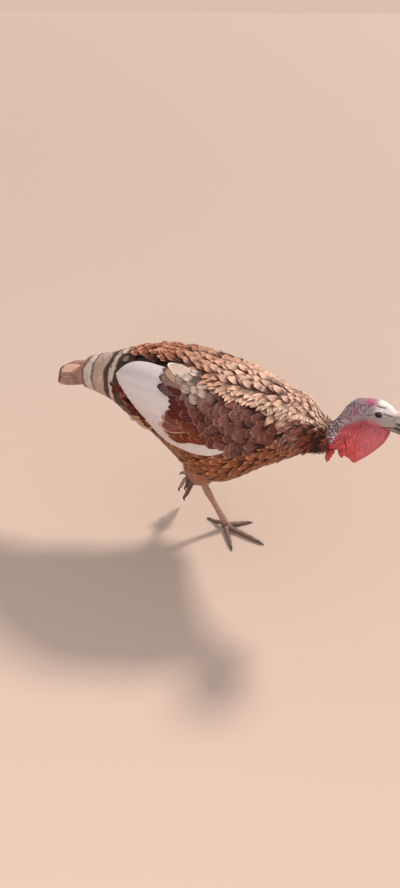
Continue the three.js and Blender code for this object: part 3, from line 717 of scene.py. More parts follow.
# One mesh, with a material for each finish.
skin_data = bpy.data.meshes.new("skin")
skin_mesh = bmesh.new()
tones = []
for form, tone, finish in ((bare, head_tone, 0), (lids, lid_tone, 0), (legs, leg_tone, 1),
                           (plumed, hide_tone, 2)):
    part = bpy.data.meshes.new("part")
    for face in form.faces:
        face.material_index = finish
        face.smooth = True
    form.to_mesh(part)
    form.free()
    skin_mesh.from_mesh(part)
    bpy.data.meshes.remove(part)
    tones.append(tone)
skin_mesh.to_mesh(skin_data)
skin_mesh.free()


def add_tone(data, name, tones):
    """A colour for each of a mesh's points, or one for them all."""
    layer = data.attributes.new(name, "FLOAT_COLOR", "POINT")
    colours = np.ones((len(data.vertices), 4), np.float32)
    colours[:, :3] = tones
    layer.data.foreach_set("color", colours.ravel())


def finished(name, data, slot, *nodes):
    """A finished piece of the bird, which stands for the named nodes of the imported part."""
    piece = bpy.data.objects.new(name, data)
    scene.collection.objects.link(piece)
    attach(piece, "root")
    if nodes:
        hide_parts(*nodes)
    return piece


def math_node(tree, operation, *values, clamp=False):
    """A Math node's output, from numbers and sockets."""
    made = tree.nodes.new("ShaderNodeMath")
    made.operation = operation
    made.use_clamp = clamp
    for place, value in enumerate(values):
        if isinstance(value, bpy.types.NodeSocket):
            tree.links.new(value, made.inputs[place])
        else:
            made.inputs[place].default_value = value
    return made.outputs[0]


def mix(tree, factor, first, second, blend="MIX"):
    """A colour Mix node's output, from colours and sockets."""
    made = tree.nodes.new("ShaderNodeMix")
    made.data_type = "RGBA"
    made.blend_type = blend
    for place, value in ((0, factor), (6, first), (7, second)):
        if isinstance(value, bpy.types.NodeSocket):
            tree.links.new(value, made.inputs[place])
        else:
            made.inputs[place].default_value = value
    return made.outputs[2]


def new_group(name, inputs, outputs):
    """A shader node group, and the sockets that its nodes read. Each input has a kind and a
    default."""
    group = bpy.data.node_groups.new(name, "ShaderNodeTree")
    for label, (kind, value) in inputs.items():
        socket = group.interface.new_socket(name=label, in_out="INPUT", socket_type=kind)
        socket.default_value = value
    for label, kind in outputs.items():
        group.interface.new_socket(name=label, in_out="OUTPUT", socket_type=kind)
    return group, group.nodes.new("NodeGroupInput").outputs


def put_out(group, **values):
    """What a group puts out."""
    end = group.nodes.new("NodeGroupOutput")
    for label, value in values.items():
        group.links.new(value, end.inputs[label])


def shaded_by(tree, colour, shade):
    """A colour multiplied by another."""
    return mix(tree, 1.0, colour, shade, "MULTIPLY")


def clouds(tree, place, scale, detail, **values):
    """Noise from 0 to 1 at each place."""
    made = node(tree, "ShaderNodeTexNoise", Vector=place, Scale=scale, Detail=detail, **values)
    return made.outputs["Fac"]


def spot_of(tree):
    """Each point's own place on the model."""
    return node(tree, "ShaderNodeTexCoord").outputs["Object"]


FLOAT, COLOUR, VECTOR = "NodeSocketFloat", "NodeSocketColor", "NodeSocketVector"

# Living hide: small cells and pores, a little darker in the furrows, broken by soft blotches.
hide, given = new_group(
    "hide", {"Tone": (COLOUR, (0.5, 0.5, 0.5, 1)), "Cell Size": (FLOAT, 0.001),
             "Furrow": (FLOAT, 0.5), "Blotch": (FLOAT, 0.15)},
    {"Color": COLOUR, "Roughness": FLOAT, "Height": FLOAT})
where = spot_of(hide)
frequency = math_node(hide, "DIVIDE", 1.0, given["Cell Size"])
pores = node(hide, "ShaderNodeTexVoronoi", Vector=where, Scale=frequency).outputs["Distance"]
rise = math_node(hide, "SUBTRACT", 1.0, pores, clamp=True)
blotch = clouds(hide, where, 160.0, 4.0)
furrow = math_node(hide, "MULTIPLY", pores, given["Furrow"], clamp=True)
tinted = mix(hide, furrow, given["Tone"], shaded_by(hide, given["Tone"], (0.32, 0.26, 0.28, 1)))
swing = math_node(hide, "MULTIPLY", math_node(hide, "SUBTRACT", blotch, 0.5), given["Blotch"])
patchy = node(hide, "ShaderNodeHueSaturation", Color=tinted,
              Value=math_node(hide, "ADD", 1.0, math_node(hide, "MULTIPLY", swing, 4.0)))
put_out(hide, Color=patchy.outputs["Color"],
        Roughness=math_node(hide, "ADD", 0.42, math_node(hide, "MULTIPLY", furrow, 0.5)),
        Height=math_node(hide, "ADD", rise, math_node(hide, "MULTIPLY", blotch, 0.8)))


def grown_material(name, group, relief, depth, settings, over=None):
    """A material whose colour, gloss and relief come from a group: how strong and how deep
    its relief is, the group's settings, and a colour that multiplies the group's own."""
    material, tree, shader = new_material(name)
    made = node(tree, "ShaderNodeGroup", node_tree=group)
    for label, value in settings.items():
        made.inputs[label.replace("_", " ")].default_value = value
    if "Tone" in made.inputs:
        tone = node(tree, "ShaderNodeAttribute", attribute_name="tone")
        tree.links.new(tone.outputs["Color"], made.inputs["Tone"])
    colour = made.outputs["Color"]
    if over:
        colour = shaded_by(tree, over(tree), colour)
    tree.links.new(colour, shader.inputs["Base Color"])
    tree.links.new(made.outputs["Roughness"], shader.inputs["Roughness"])
    bump = node(tree, "ShaderNodeBump", Height=made.outputs["Height"], Strength=relief,
                Distance=depth)
    tree.links.new(bump.outputs["Normal"], shader.inputs["Normal"])
    return material, shader


for label, cell, furrow, blotch, depth in (
        ("bare head and neck skin", 0.0011, 0.30, 0.16, 0.00035),
        ("scaly leg hide", 0.0021, 0.75, 0.20, 0.0005),
        ("hide under the coat", 0.002, 0.4, 0.2, 0.0005)):
    finish, _ = grown_material(label, hide, 0.6, depth, {
        "Cell Size": cell, "Furrow": furrow, "Blotch": blotch})
    skin_data.materials.append(finish)
add_tone(skin_data, "tone", np.vstack(tones))
finished("skin", skin_data, "pale_skin", "trunk", "rump", "neck", "thigh_right", "thigh_left",
         "shank_right", "shank_left", "head", "ear_right", "ear_left", "neck_skin", "dewlap",
         "snood", "caruncle_right", "caruncle_left", "caruncle_middle",
         *(f"toe_{name}_{leg}" for leg in TOES for name in TOES[leg]))

# ---------------------------------------------------------------- bill
# Two horn sheaths grown over the jaws, the upper one arched and hooked over the lower. They
# are worn smooth, grey with a browner tip; an oval nostril opens near the root on each side.

UPPER_BILL = [(40, 17, -5.5, 12), (50, 14.5, -6.5, 11), (61, 10.5, -8.6, 9), (71, 4.5, -11, 7),
              (79, -2.5, -13, 5), (85, -9.5, -16, 3)]
LOWER_BILL = [(38, -9, -21, 11), (50, -7.4, -20.5, 9.6), (62, -9.5, -19.5, 7.6),
              (72, -12.2, -18.6, 5.2), (79, -14.4, -17.8, 3)]
NOSTRIL = {"s": 52.5, "up": 6.0, "long": 4.4, "high": 1.9}

# Horn: fine streaks along the growth, a soft polish.
horn, given = new_group(
    "horn", {"Tone": (COLOUR, (0.5, 0.5, 0.5, 1)), "Streak": (FLOAT, 0.3),
             "Grain": (VECTOR, (40.0, 400.0, 400.0))},
    {"Color": COLOUR, "Roughness": FLOAT, "Height": FLOAT})
where = spot_of(horn)
stretched = node(horn, "ShaderNodeVectorMath", operation="MULTIPLY")
horn.links.new(where, stretched.inputs[0])
horn.links.new(given["Grain"], stretched.inputs[1])
streaks = clouds(horn, stretched.outputs[0], 1.0, 5.0)
scuffs = clouds(horn, where, 900.0, 3.0)
weight = math_node(horn, "MULTIPLY", streaks, given["Streak"], clamp=True)
put_out(horn, Color=mix(horn, weight, given["Tone"],
                        shaded_by(horn, given["Tone"], (0.25, 0.2, 0.18, 1))),
        Roughness=math_node(horn, "ADD", 0.24, math_node(horn, "MULTIPLY", scuffs, 0.3)),
        Height=math_node(horn, "ADD", streaks, math_node(horn, "MULTIPLY", scuffs, 0.4)))


def new_piece(name, form, tone, material, slot, *nodes):
    """A finished piece from its shape and the tone of each of its points."""
    data = bpy.data.meshes.new(name)
    for face in form.faces:
        face.smooth = True
    form.to_mesh(data)
    form.free()
    add_tone(data, "tone", tone)
    data.materials.append(material)
    return finished(name, data, slot, *nodes)


bill_horn, _ = grown_material("bill horn", horn, 0.4, 0.0003,
                              {"Streak": 0.55, "Grain": (45.0, 420.0, 420.0)})
for name, stations, keel in (("bill_upper", UPPER_BILL, 0.95), ("bill_lower", LOWER_BILL, 0.8)):
    sheath = head_form(stations, 0.1, keel, 72, 90)
    points, normals = read_points(sheath)
    local = (points - HEAD_PLACE) * 1000
    s, up, left = local @ HEAD_AXIS, local @ HEAD_UP, local[:, 1]
    upper = name == "bill_upper"
    ahead = s - NOSTRIL["s"]
    above = up - NOSTRIL["up"] + 0.28 * ahead
    opening = np.sqrt((ahead / NOSTRIL["long"]) ** 2 + (above / NOSTRIL["high"]) ** 2)
    pit = smooth(opening, 1.15, 0.7) * upper
    lip = np.exp(-((opening - 1.35) / 0.25) ** 2) * upper
    culmen = smooth(np.abs(left), 4.5, 0.0) * smooth(normals @ HEAD_UP, 0.2, 0.9) * upper
    lines = np.sin(s * 1.9 + 1.3 * np.sin(up * 0.4)) * smooth(s, 72, 52)
    swell = -2.2 * pit + 0.35 * lip + 0.5 * culmen + 0.06 * lines
    write_points(sheath, points + normals * (swell / 1000)[:, None])
    tip = smooth(s, 60, 80)
    edge_line = np.interp(s, [40, 50, 61, 71, 79, 85], [-5.5, -6.5, -8.6, -11, -13, -16])
    mouth = np.exp(-((up - edge_line - (0.9 if upper else 0.2)) / 1.7) ** 2)
    tone = blend("8E8683" if upper else "857872",
                 # A painted highlight: the upper sheath paler where it faces up.
                 (smooth(normals @ HEAD_UP, 0.1, 0.9) * 0.7 * upper, "CFC8C6"),
                 (tip * 0.75, "7A6658"),
                 # Painted shade along the gap between the jaws.
                 (mouth * 0.9, "2E2225"),
                 (lip * 0.3, "6A6062"),
                 # Painted shade in the nostril's pit.
                 (pit, "1E1618"))
    new_piece(f"horn_{name}", sheath, tone, bill_horn, "horn", name)

# ---------------------------------------------------------------- eyes
# Dark brown eyes with a round black pupil, under a clear wet cornea that bulges a little.
# Each is a ball, seated in the head behind its lids.

SIDES = (("right", -1), ("left", 1))  # each side and its direction across the body
PUPIL, IRIS = 0.44, 0.86  # their edges, as the sine of the angle off the eye's axis
CORNEA = 0.035  # how far it bulges, as a share of the ball's radius
iris_material, tree, shader = new_material("wet dark eye", 0.06)
gaze = node(tree, "ShaderNodeAttribute", attribute_name="gaze").outputs["Fac"]
fleck = clouds(tree, spot_of(tree), 1400.0, 3.0)
offset = math_node(tree, "ADD", gaze, math_node(tree, "MULTIPLY", fleck, 0.04))
iris_colour = ramp(tree, offset, (0.0, "030303"), (PUPIL, "040303"),
                   (PUPIL + 0.05, "20120B"), (0.72, "2E1A10"), (IRIS, "120B09"),
                   (0.98, "1E1718"))
tree.links.new(iris_colour, shader.inputs["Base Color"])
tree.links.new(math_node(tree, "ADD", 0.04, math_node(tree, "MULTIPLY", fleck, 0.06)),
               shader.inputs["Roughness"])
shader.inputs["Coat Weight"].default_value = 0.35
shader.inputs["Specular IOR Level"].default_value = 0.15
shader.inputs["Coat Roughness"].default_value = 0.02
for name, side in SIDES:
    ball = bmesh.new()
    bmesh.ops.create_uvsphere(ball, u_segments=48, v_segments=32, radius=EYE["radius"] / 1000)
    points, _ = read_points(ball)
    off_axis = np.hypot(points[:, 0], points[:, 1]) / (EYE["radius"] / 1000)
    off_axis = np.where(points[:, 2] > 0, off_axis, 1.0)
    points = points * (1 + CORNEA * smooth(off_axis, 0.6, 0.0))[:, None]
    centre = head_point(EYE["s"], EYE["up"], side * EYE["out"])
    turned = (points[:, 0:1] * HEAD_AXIS + points[:, 1:2] * HEAD_UP * side
              + points[:, 2:3] * np.array([0.06, side * 1.0, 0.0]))
    write_points(ball, centre + turned)
    bmesh.ops.recalc_face_normals(ball, faces=ball.faces)
    piece = new_piece(f"eyeball_{name}", ball, linear("1A100C"), iris_material, "eye",
                      f"eye_{name}")
    layer = piece.data.attributes.new("gaze", "FLOAT", "POINT")
    layer.data.foreach_set("value", off_axis.astype(np.float32))

# ---------------------------------------------------------------- claws
# A blunt claw on the end of each toe, slightly curved: a sheath of horn grown over the last
# bone and worn by the ground, dark at its root and paler at its tip.

claw_horn, _ = grown_material("claw horn", horn, 0.4, 0.0002,
                              {"Streak": 0.6, "Grain": (200.0, 200.0, 500.0)})
for leg in TOES:
    talons, tone = [], []
    for name in TOES[leg]:
        talon = claws[leg, name].form(18, 24)
        points, normals = read_points(talon)
        points[:, 2] = np.maximum(points[:, 2], 0.0)
        write_points(talon, points)
        start, end = claws[leg, name].line[0], claws[leg, name].line[-1]
        share = (points - start) @ (end - start) / np.dot(end - start, end - start)
        tone.append(blend("3E2E28", (smooth(share, 0.45, 1.0) * 0.7, "8A7668")))
        talons.append(talon)
    new_piece(f"claws_{leg}", gathered(talons), np.vstack(tone), claw_horn, "claw",
              *(f"claw_{name}_{leg}" for name in TOES[leg]))

# ---------------------------------------------------------------- leg scales
# Broad overlapping scales run down the front of each shank in two rows and across the top
# of each toe. They are hard keratin plates grown from the hide, each with its far edge proud.

OFBAKE_PATCH = 0.003  # the width of each vane's patch on the unwrapped skin


def vane_blank(across, along):
    """The blank from which a tract's plates or feathers are cut: a flat closed vane whose
    upper and lower faces share their rim, with w from -1 to 1 across it, s from 0 to 1
    along it, and which points lie beneath."""
    blank = bmesh.new()
    bmesh.ops.create_grid(blank, x_segments=across, y_segments=along, size=1)
    twin = bmesh.ops.duplicate(blank, geom=blank.verts[:] + blank.edges[:] + blank.faces[:])
    lower = [g for g in twin["geom"] if isinstance(g, bmesh.types.BMVert)]
    bmesh.ops.reverse_faces(blank, faces=[g for g in twin["geom"]
                                          if isinstance(g, bmesh.types.BMFace)])
    for vertex in lower:
        if max(abs(vertex.co.x), abs(vertex.co.y)) < 0.9999:
            vertex.co.z = -1
    bmesh.ops.remove_doubles(blank, verts=blank.verts, dist=1e-4)
    blank.verts.index_update()
    across, along, layer = np.array([v.co for v in blank.verts]).T
    faces = np.array([[v.index for v in f.verts] for f in blank.faces])
    blank.free()
    return {"w": across, "s": (along + 1) / 2, "under": layer < -0.5, "faces": faces,
            "rim": np.maximum(np.abs(across), np.abs(along)) > 0.9999}


def vane_outline(s, w, root, widest, blunt, point):
    """How far along and how wide a vane is at s and w: its root's share of its width, where
    it is widest, how much width its end keeps and how far its end is rounded."""
    rise = root + (1 - root) * np.sin(np.minimum(s / widest, 1) * np.pi / 2)
    fall = 1 - (1 - blunt) * np.clip((s - widest) / (1 - widest), 0, 1) ** 2.2
    return s - point * w**2 * s**3, rise * fall


def lay_vanes(blank, rng, spots, surface, radius, shape, lift, camber=0.10, thick=0.0004,
              fray=0.03, loose=0.12, curl=0.0, tuck=None):
    """Every vane of a tract at once. spots holds for each vane: u, a, turn (towards the
    belly), side (its hand), length and half (its half-width). lift gives the height of the
    root, the end and the lower edge over the upper one, in metres; tuck says how far the
    vanes are pressed down under their neighbours."""
    w, s = blank["w"][None, :], blank["s"][None, :]
    n = len(spots["u"])
    u0, a0, turn, side, length, half = (
        np.broadcast_to(np.asarray(spots[k], float), (n,))[:, None]
        for k in ("u", "a", "turn", "side", "length", "half"))
    ragged = rng.normal(0, 1, (n, w.shape[1])) * blank["rim"]
    far, wide = vane_outline(s, w, *shape)
    run = length * (far + fray * ragged * s)
    off = half * w * wide * (1 + 0.6 * fray * ragged)
    off = off + rng.normal(0, 0.04, (n, 1)) * length * s**2 * (loose > 0)
    cosine, sine = np.cos(turn), np.sin(turn) * side
    middle = u0 - length * cosine * 0.5
    slope = (radius(u0, a0) - radius(u0 - length * cosine * 0.8, a0)) / (length * 0.8)
    u = u0 - (run * cosine - off * sine) / np.sqrt(1 + slope**2)
    a = a0 + run * sine / radius(middle, a0)
    a = a + off * cosine / radius(u, a)
    root, end, roll = lift
    height = (root + (end - root) * s + roll * w * side + curl * s**3
              + rng.normal(0, loose, (n, 1)) * (end - root) * s - camber * half * w**2 * wide)
    if tuck:
        height = height - tuck(u, np.abs(a))
    return surface(u, a, height - thick * blank["under"] * (1 - 0.5 * s))


def vane_piece(name, blank, points, colours, patch, material, slot, *nodes):
    """One piece from all the vanes of a tract, with their ground and edge colours, each
    vane's own map and the place of its patch on the unwrapped skin."""
    n, count = points.shape[:2]
    faces = blank["faces"][None] + (np.arange(n) * count)[:, None, None]
    corners = (points - points.mean(1, keepdims=True)).reshape(-1, 3)[faces]
    volume = (np.cross(corners[:, :, 2] - corners[:, :, 0], corners[:, :, 3] - corners[:, :, 1])
              * corners.mean(2)).sum((1, 2))
    faces = np.where((volume < 0)[:, None, None], faces[:, :, ::-1], faces).reshape(-1, 4)
    data = bpy.data.meshes.new(name)
    data.from_pydata(points.reshape(-1, 3).tolist(), [], faces.tolist())
    data.polygons.foreach_set("use_smooth", np.ones(len(faces), bool))
    data.set_sharp_from_angle(angle=math.radians(70))
    corner = faces.ravel()
    vane = np.stack([blank["w"] * 0.5 + 0.5, blank["s"]], -1)
    own = np.tile(vane, (n, 1))[corner]
    placed = (patch[:, None, :] + OFBAKE_PATCH * (vane[None] - 0.5)).reshape(-1, 2)[corner]
    for label, uv in (("OFBake", placed), ("vane", own)):
        layer = data.uv_layers.new(name=label)
        layer.data.foreach_set("uv", uv.astype(np.float32).ravel())
    for label in ("ground", "edge"):
        spread = np.broadcast_to(np.reshape(colours[label], (-1, 1, 3)), (n, count, 3))
        add_tone(data, label, spread.reshape(-1, 3))
    data.materials.append(material)
    return finished(name, data, slot, *nodes)


# A vane's surface: a dark or pale margin round its end, dark streaks along it, the shaft down
# its middle, the fine barbs that run out from it and the shade under the vane that covers it.
web, given = new_group(
    "vane", {"Margin": (FLOAT, 0.2), "Margin Strength": (FLOAT, 0.9), "Slenderness": (FLOAT, 1.4),
             "Barbs": (FLOAT, 26.0), "Barb Contrast": (FLOAT, 0.25), "Shaft": (FLOAT, 0.3),
             "Mottle": (FLOAT, 0.2), "Streaks": (FLOAT, 0.0), "Base Shade": (FLOAT, 0.0)},
    {"Color": COLOUR, "Height": FLOAT, "Roughness": FLOAT})
own_map = node(web, "ShaderNodeUVMap", uv_map="vane").outputs["UV"]
across, along, _ = node(web, "ShaderNodeSeparateXYZ", Vector=own_map).outputs
mottle = clouds(web, spot_of(web), 70.0, 5.0, Roughness=0.65)
ground, edge = (node(web, "ShaderNodeAttribute", attribute_name=label).outputs["Color"]
                for label in ("ground", "edge"))
plus, less, times, scaled, lesser = (
    partial(math_node, web, name)
    for name in ("ADD", "SUBTRACT", "MULTIPLY", "MULTIPLY_ADD", "SMOOTH_MIN"))

wide = math_node(web, "ABSOLUTE", scaled(across, 2.0, -1.0))
from_end = times(less(1.0, along), given["Slenderness"])
to_rim = plus(lesser(less(1.0, wide), from_end, 0.25), scaled(mottle, 0.24, -0.12))
margin = less(1.0, math_node(web, "DIVIDE", to_rim, given["Margin"]), clamp=True)
margin = times(lesser(times(margin, 2.5), 1.0, 0.3), times(less(along, 0.15), 3.0, clamp=True))
margin = times(margin, given["Margin Strength"], clamp=True)
barb_turns = times(plus(along, times(wide, -0.32)), times(given["Barbs"], 6.2832))
barbs = scaled(math_node(web, "SINE", plus(barb_turns, times(mottle, 5.0))), 0.5, 0.5)
shaft = times(less(1.0, times(wide, 14.0), clamp=True),
              less(1.0, math_node(web, "POWER", along, 3.0), clamp=True))
lengthwise = node(web, "ShaderNodeCombineXYZ", X=times(across, 16.0), Y=times(along, 1.4),
                  Z=times(mottle, 1.5)).outputs[0]
streaks = scaled(clouds(web, lengthwise, 1.0, 3.0), 3.0, -1.1, clamp=True)
# Painted shade over the part of each vane that the next one covers, which also stands for the
# feather's darker downy base.
covered = less(1.0, times(less(along, 0.45), 2.6, clamp=True))

colour = mix(web, times(streaks, given["Streaks"]), ground,
             shaded_by(web, ground, (0.30, 0.24, 0.24, 1)))
colour = mix(web, margin, colour, edge)
colour = mix(web, times(barbs, given["Barb Contrast"]), colour,
             shaded_by(web, colour, (0.45, 0.4, 0.4, 1)))
colour = mix(web, times(shaft, given["Shaft"]), colour,
             mix(web, 0.5, colour, (0.75, 0.62, 0.5, 1)))
colour = mix(web, times(times(covered, covered), given["Base Shade"]), colour,
             shaded_by(web, colour, (0.16, 0.11, 0.11, 1)))
swing = times(scaled(mottle, 2.0, -1.0), given["Mottle"])
final = node(web, "ShaderNodeHueSaturation", Color=colour, Value=plus(1.0, swing))
put_out(web, Color=final.outputs["Color"],
        Height=plus(times(barbs, 0.35), times(shaft, 0.8)),
        Roughness=less(0.68, times(barbs, 0.12)))


def vane_material(name, depth=0.0005, sheen=0.06, gloss=0.25, **settings):
    """The finish of a tract's vanes, from the vane group's settings."""
    material, shader = grown_material(name, web, 0.55, depth, settings)
    shader.inputs["Specular IOR Level"].default_value = gloss
    shader.inputs["Sheen Weight"].default_value = sheen
    shader.inputs["Sheen Roughness"].default_value = 0.4
    return material


scale_blank = vane_blank(6, 4)
SCALE_SHAPE = (0.85, 0.4, 0.75, 0.16)
scale_horn = vane_material("leg scale horn", 0.0003, 0.0, Margin=0.3, Margin_Strength=0.55,
                           Slenderness=0.7, Barbs=0.0, Barb_Contrast=0.0, Shaft=0.0, Mottle=0.35)
for leg in LEGS:
    rng = np.random.default_rng(5)
    parts, traits, patches = [], {"ground": [], "edge": []}, []
    # Each limb's plates: where they start and stop along it, their pitch, the angles of their
    # columns from its front, their half-width over its radius, and their tone.
    plated = [(shanks[leg], 0.10, 0.90, 0.0052, (-0.36, 0.36), 0.42, "B58B79")]
    plated += [(toes[leg, name], 0.05, 0.98, 0.0036, (0.0,), 0.78, "8A7064")
               for name in TOES[leg]]
    for limb, start, stop, pitch, columns, wide, tint in plated:
        count = int(limb.length * (stop - start) / pitch)
        for shift, column in enumerate(columns):
            t = start + (stop - start) * (np.arange(count) + 0.5 * shift) / count
            facing = column
            if limb is shanks[leg]:  # its front is found: the point that lies furthest ahead
                ring = np.linspace(-math.pi, math.pi, 73)
                ahead = np.argmax(limb.place(np.array([0.5]), ring) @ np.array([1.0, 0.0, 0.15]))
                facing = ring[ahead] + column
            spots = {"u": t * limb.length, "a": facing, "turn": np.pi, "length": pitch * 1.7,
                     "side": 1, "half": np.maximum(limb.size(t), 0.003) * wide}
            tone = linear(tint) * (1 + rng.normal(0, 0.08, (count, 1)))
            traits["ground"].append(tone)
            traits["edge"].append(tone * 0.35)
            parts.append(lay_vanes(
                scale_blank, rng, spots,
                lambda u, a, h, limb=limb: limb.place(u / limb.length, a, h),
                lambda u, a, limb=limb: np.maximum(limb.size(u / limb.length), 0.002) + 0 * a,
                SCALE_SHAPE, (-0.0003, 0.0006, 0.0), camber=0.0, fray=0.012, loose=0.0))
            patches.append(np.stack([0.05 + 0.9 * t, 0.1 + 0.08 * len(patches) + 0 * t], -1))
    colours = {k: np.clip(np.vstack(v), 0, 1) for k, v in traits.items()}
    points = np.vstack(parts)
    points[..., 2] = np.maximum(points[..., 2], 0.0)
    vane_piece(f"scales_{leg}", scale_blank, points, colours, np.vstack(patches), scale_horn,
               "leg_scale")

# ---------------------------------------------------------------- body feathers
# Short, broad, rounded contour feathers over the breast, belly, flanks, back and rump. Each
# is a thin curved vane rooted in the skin; they overlap from the collar to the tail, and each
# shows a dark or pale rim.

# The folded wing's upper and lower edges, by millimetres along the body, in degrees down from
# the top of the back.
WING_EDGES = [(-285, 60, 64), (-270, 47, 71), (-228, 33, 86), (-190, 29, 99), (-158, 27, 108),
              (-115, 25, 105), (-70, 25, 97), (-20, 29, 92), (50, 31, 90), (98, 38, 90),
              (134, 46, 86), (157, 56, 70)]
wing_x, *wing_edges = np.array(WING_EDGES, float).T
WING_TOP_LINE, WING_LOW_LINE = (spline(wing_x / 1000, np.radians(k)) for k in wing_edges)
# How far apart the feathers' roots stand, at each place along the body.
PITCH = spline([-0.44, -0.33, -0.20, -0.05, 0.08, 0.16, 0.205, 0.235, 0.25],
               [0.014, 0.016, 0.018, 0.020, 0.020, 0.016, 0.011, 0.0070, 0.005])
feather_blank = vane_blank(6, 5)
tuft_blank = vane_blank(4, 6)
# Outlines: the root's share of the width, where the vane is widest, how much width its end
# keeps and how far its end is rounded.
ROUND_END = (0.35, 0.62, 0.62, 0.20)
BROAD_END = (0.35, 0.66, 0.66, 0.17)
LOOSE_END = (0.25, 0.50, 0.30, 0.10)


def rows(rng, start, stop, keep, pitch=PITCH, step=0.80, jitter=0.16):
    """The roots of a tract: rows round the body, each staggered against the last, kept where
    keep(x, angle from the top of the back) holds."""
    places, angles, sizes = [], [], []
    x, shift = start, 0.0
    while x > stop:
        size = float(pitch(x))
        ring = np.linspace(-math.pi, math.pi, 241)
        steps = np.diff(on_body(x + 0 * ring, ring, 0 * ring), axis=0)
        run = np.concatenate([[0], np.cumsum(np.linalg.norm(steps, axis=1))])
        count = max(6, round(run[-1] / size))
        at = (np.arange(count) + shift + rng.normal(0, jitter, count)) / count * run[-1]
        a = np.interp(np.mod(at, run[-1]), run, ring)
        u = x + rng.normal(0, jitter * 0.4, count) * size
        kept = keep(u, np.abs(a))
        places.append(u[kept])
        angles.append(a[kept])
        sizes.append(np.full(kept.sum(), size))
        x, shift = x - size * step, 0.5 - shift
    u, a, size = (np.concatenate(v) for v in (places, angles, sizes))
    return {"u": u, "a": a, "size": size, "side": np.where(a < 0, -1.0, 1.0)}


def dress(rng, spots, long=2.5, wide=0.66, turn=0.0, sway=0.13, tones=None, shade=0.07):
    """Sizes, directions and colours for the roots of a tract: lengths and half-widths over the
    roots' spacing, the turn towards the belly and how far it strays, and how far tones stray."""
    n = len(spots["u"])
    vary = 1 + rng.normal(0, 0.09, n)
    spots["length"] = spots["size"] * long * vary
    spots["half"] = spots["size"] * wide * vary
    spots["turn"] = turn + rng.normal(0, sway, n)
    ground, edge = (tones or plumage)(spots["u"] - spots["length"] * 0.6, spots["a"])
    tint = 1 + rng.normal(0, shade, (n, 1))
    spots["ground"] = np.clip(ground * tint, 0, 1)
    spots["edge"] = np.clip(edge * tint, 0, 1)
    return spots


def skin_patch(spots):
    """Where each root of the body lies on the unwrapped skin."""
    return np.stack([0.02 + 0.96 * (np.clip(spots["u"], BODY_FROM, BODY_TO) - BODY_FROM)
                     / (BODY_TO - BODY_FROM),
                     0.02 + 0.66 * np.mod(spots["a"] / (2 * math.pi) + 0.5, 1.0)], -1)


def among(spots, here):
    """The roots for which here holds."""
    return {k: v[here] for k, v in spots.items()}


def tract(name, slot, material, rng, spots, shape, lift, *nodes, blank=feather_blank, **ways):
    """A piece of plumage that lies on the body."""
    points = lay_vanes(blank, rng, spots, on_body, radius_at, shape, lift, **ways)
    return vane_piece(name, blank, points, spots, skin_patch(spots), material, slot, *nodes)


contour = vane_material("contour feather", Margin=0.18, Margin_Strength=0.85, Barbs=20.0,
                        Barb_Contrast=0.35, Streaks=0.6, Mottle=0.4, Base_Shade=1.0)
soft = vane_material("soft fluff", 0.0007, 0.3, Margin=0.5, Margin_Strength=0.45, Barbs=16.0,
                     Barb_Contrast=0.45, Shaft=0.0, Mottle=0.3)


def under_wing(x, a):
    """The body's feathers are pressed down beneath the wing's lower edge."""
    return 0.0045 * smooth(a, WING_LOW_LINE(x) + 0.10, WING_LOW_LINE(x) - 0.02) * (x < 0.15)


def fan_down(spots, start, stop, most):
    """Turns the feathers towards the belly between two angles from the top of the back."""
    return most * smooth(np.abs(spots["a"]), start, stop)


LOWER_LEFT = 0.42  # radians


def back_tones(x, a):
    """The plumage's markings, which lie lower down on the left side of the back."""
    return plumage(x, a - LOWER_LEFT * np.clip(a / LOWER_LEFT, 0, 1))


rng = np.random.default_rng(11)
belly_vane = vane_material("belly feather", Margin=0.20, Margin_Strength=0.75, Barbs=18.0,
                           Barb_Contrast=0.4, Mottle=0.45, Streaks=0.6, Base_Shade=0.95)
for name, start, stop in (("breast", 0.205, -0.03), ("belly", -0.03, -0.185)):
    below = rows(rng, start, stop, lambda x, a: (a > WING_LOW_LINE(x) - 0.07) | (x > 0.15))
    tract(f"feathers_{name}", "body_feather", belly_vane, rng, dress(rng, below, shade=0.16),
          ROUND_END, (-0.0035, 0.0022, 0.0), tuck=under_wing)
back = rows(rng, 0.18, -0.15, lambda x, a: a < WING_TOP_LINE(x) + 0.3)
low = WING_TOP_LINE(back["u"]) + np.where(
    back["u"] < -0.05, 0.50 * (back["a"] > 0) - 0.22, -0.24 * smooth(back["u"], 0.19, 0.15))
back = among(back, np.abs(back["a"]) < low)
tract("feathers_back", "body_feather", contour, rng,
      dress(rng, back, long=2.7, wide=0.60, turn=fan_down(back, 0.15, 0.45, 1.05), shade=0.13,
            tones=back_tones),
      ROUND_END, (-0.0030, 0.0044, 0.0004), loose=0.3)
rump_vane = vane_material("rump feather", sheen=0.0, gloss=0.08, Margin=0.22, Margin_Strength=0.9,
                          Barbs=20.0, Streaks=0.4, Base_Shade=0.95, Mottle=0.4)
rump = rows(rng, -0.118, -0.27, lambda x, a: a < 1.2, pitch=lambda x: 0.0205)
low = np.interp(rump["u"], [-0.27, -0.255, -0.22, -0.15, -0.11], [0.80, 0.50, 0.38, 0.35, 0.30])
rump = among(rump, np.abs(rump["a"]) < low + 0.40 * (rump["a"] > 0))
tract("feathers_rump", "rump_plume", rump_vane, rng,
      dress(rng, rump, long=2.4, wide=0.60, shade=0.16, turn=fan_down(rump, 0.1, 0.4, 0.35),
            tones=back_tones),
      ROUND_END, (-0.0034, 0.0030, 0.0), loose=0.25)

# ---------------------------------------------------------------- vent fluff
# Under the rump dark maroon feathers give way to long soft plumes. These have no firm web,
# so they hang together behind the thighs as loose pale golden tufts.

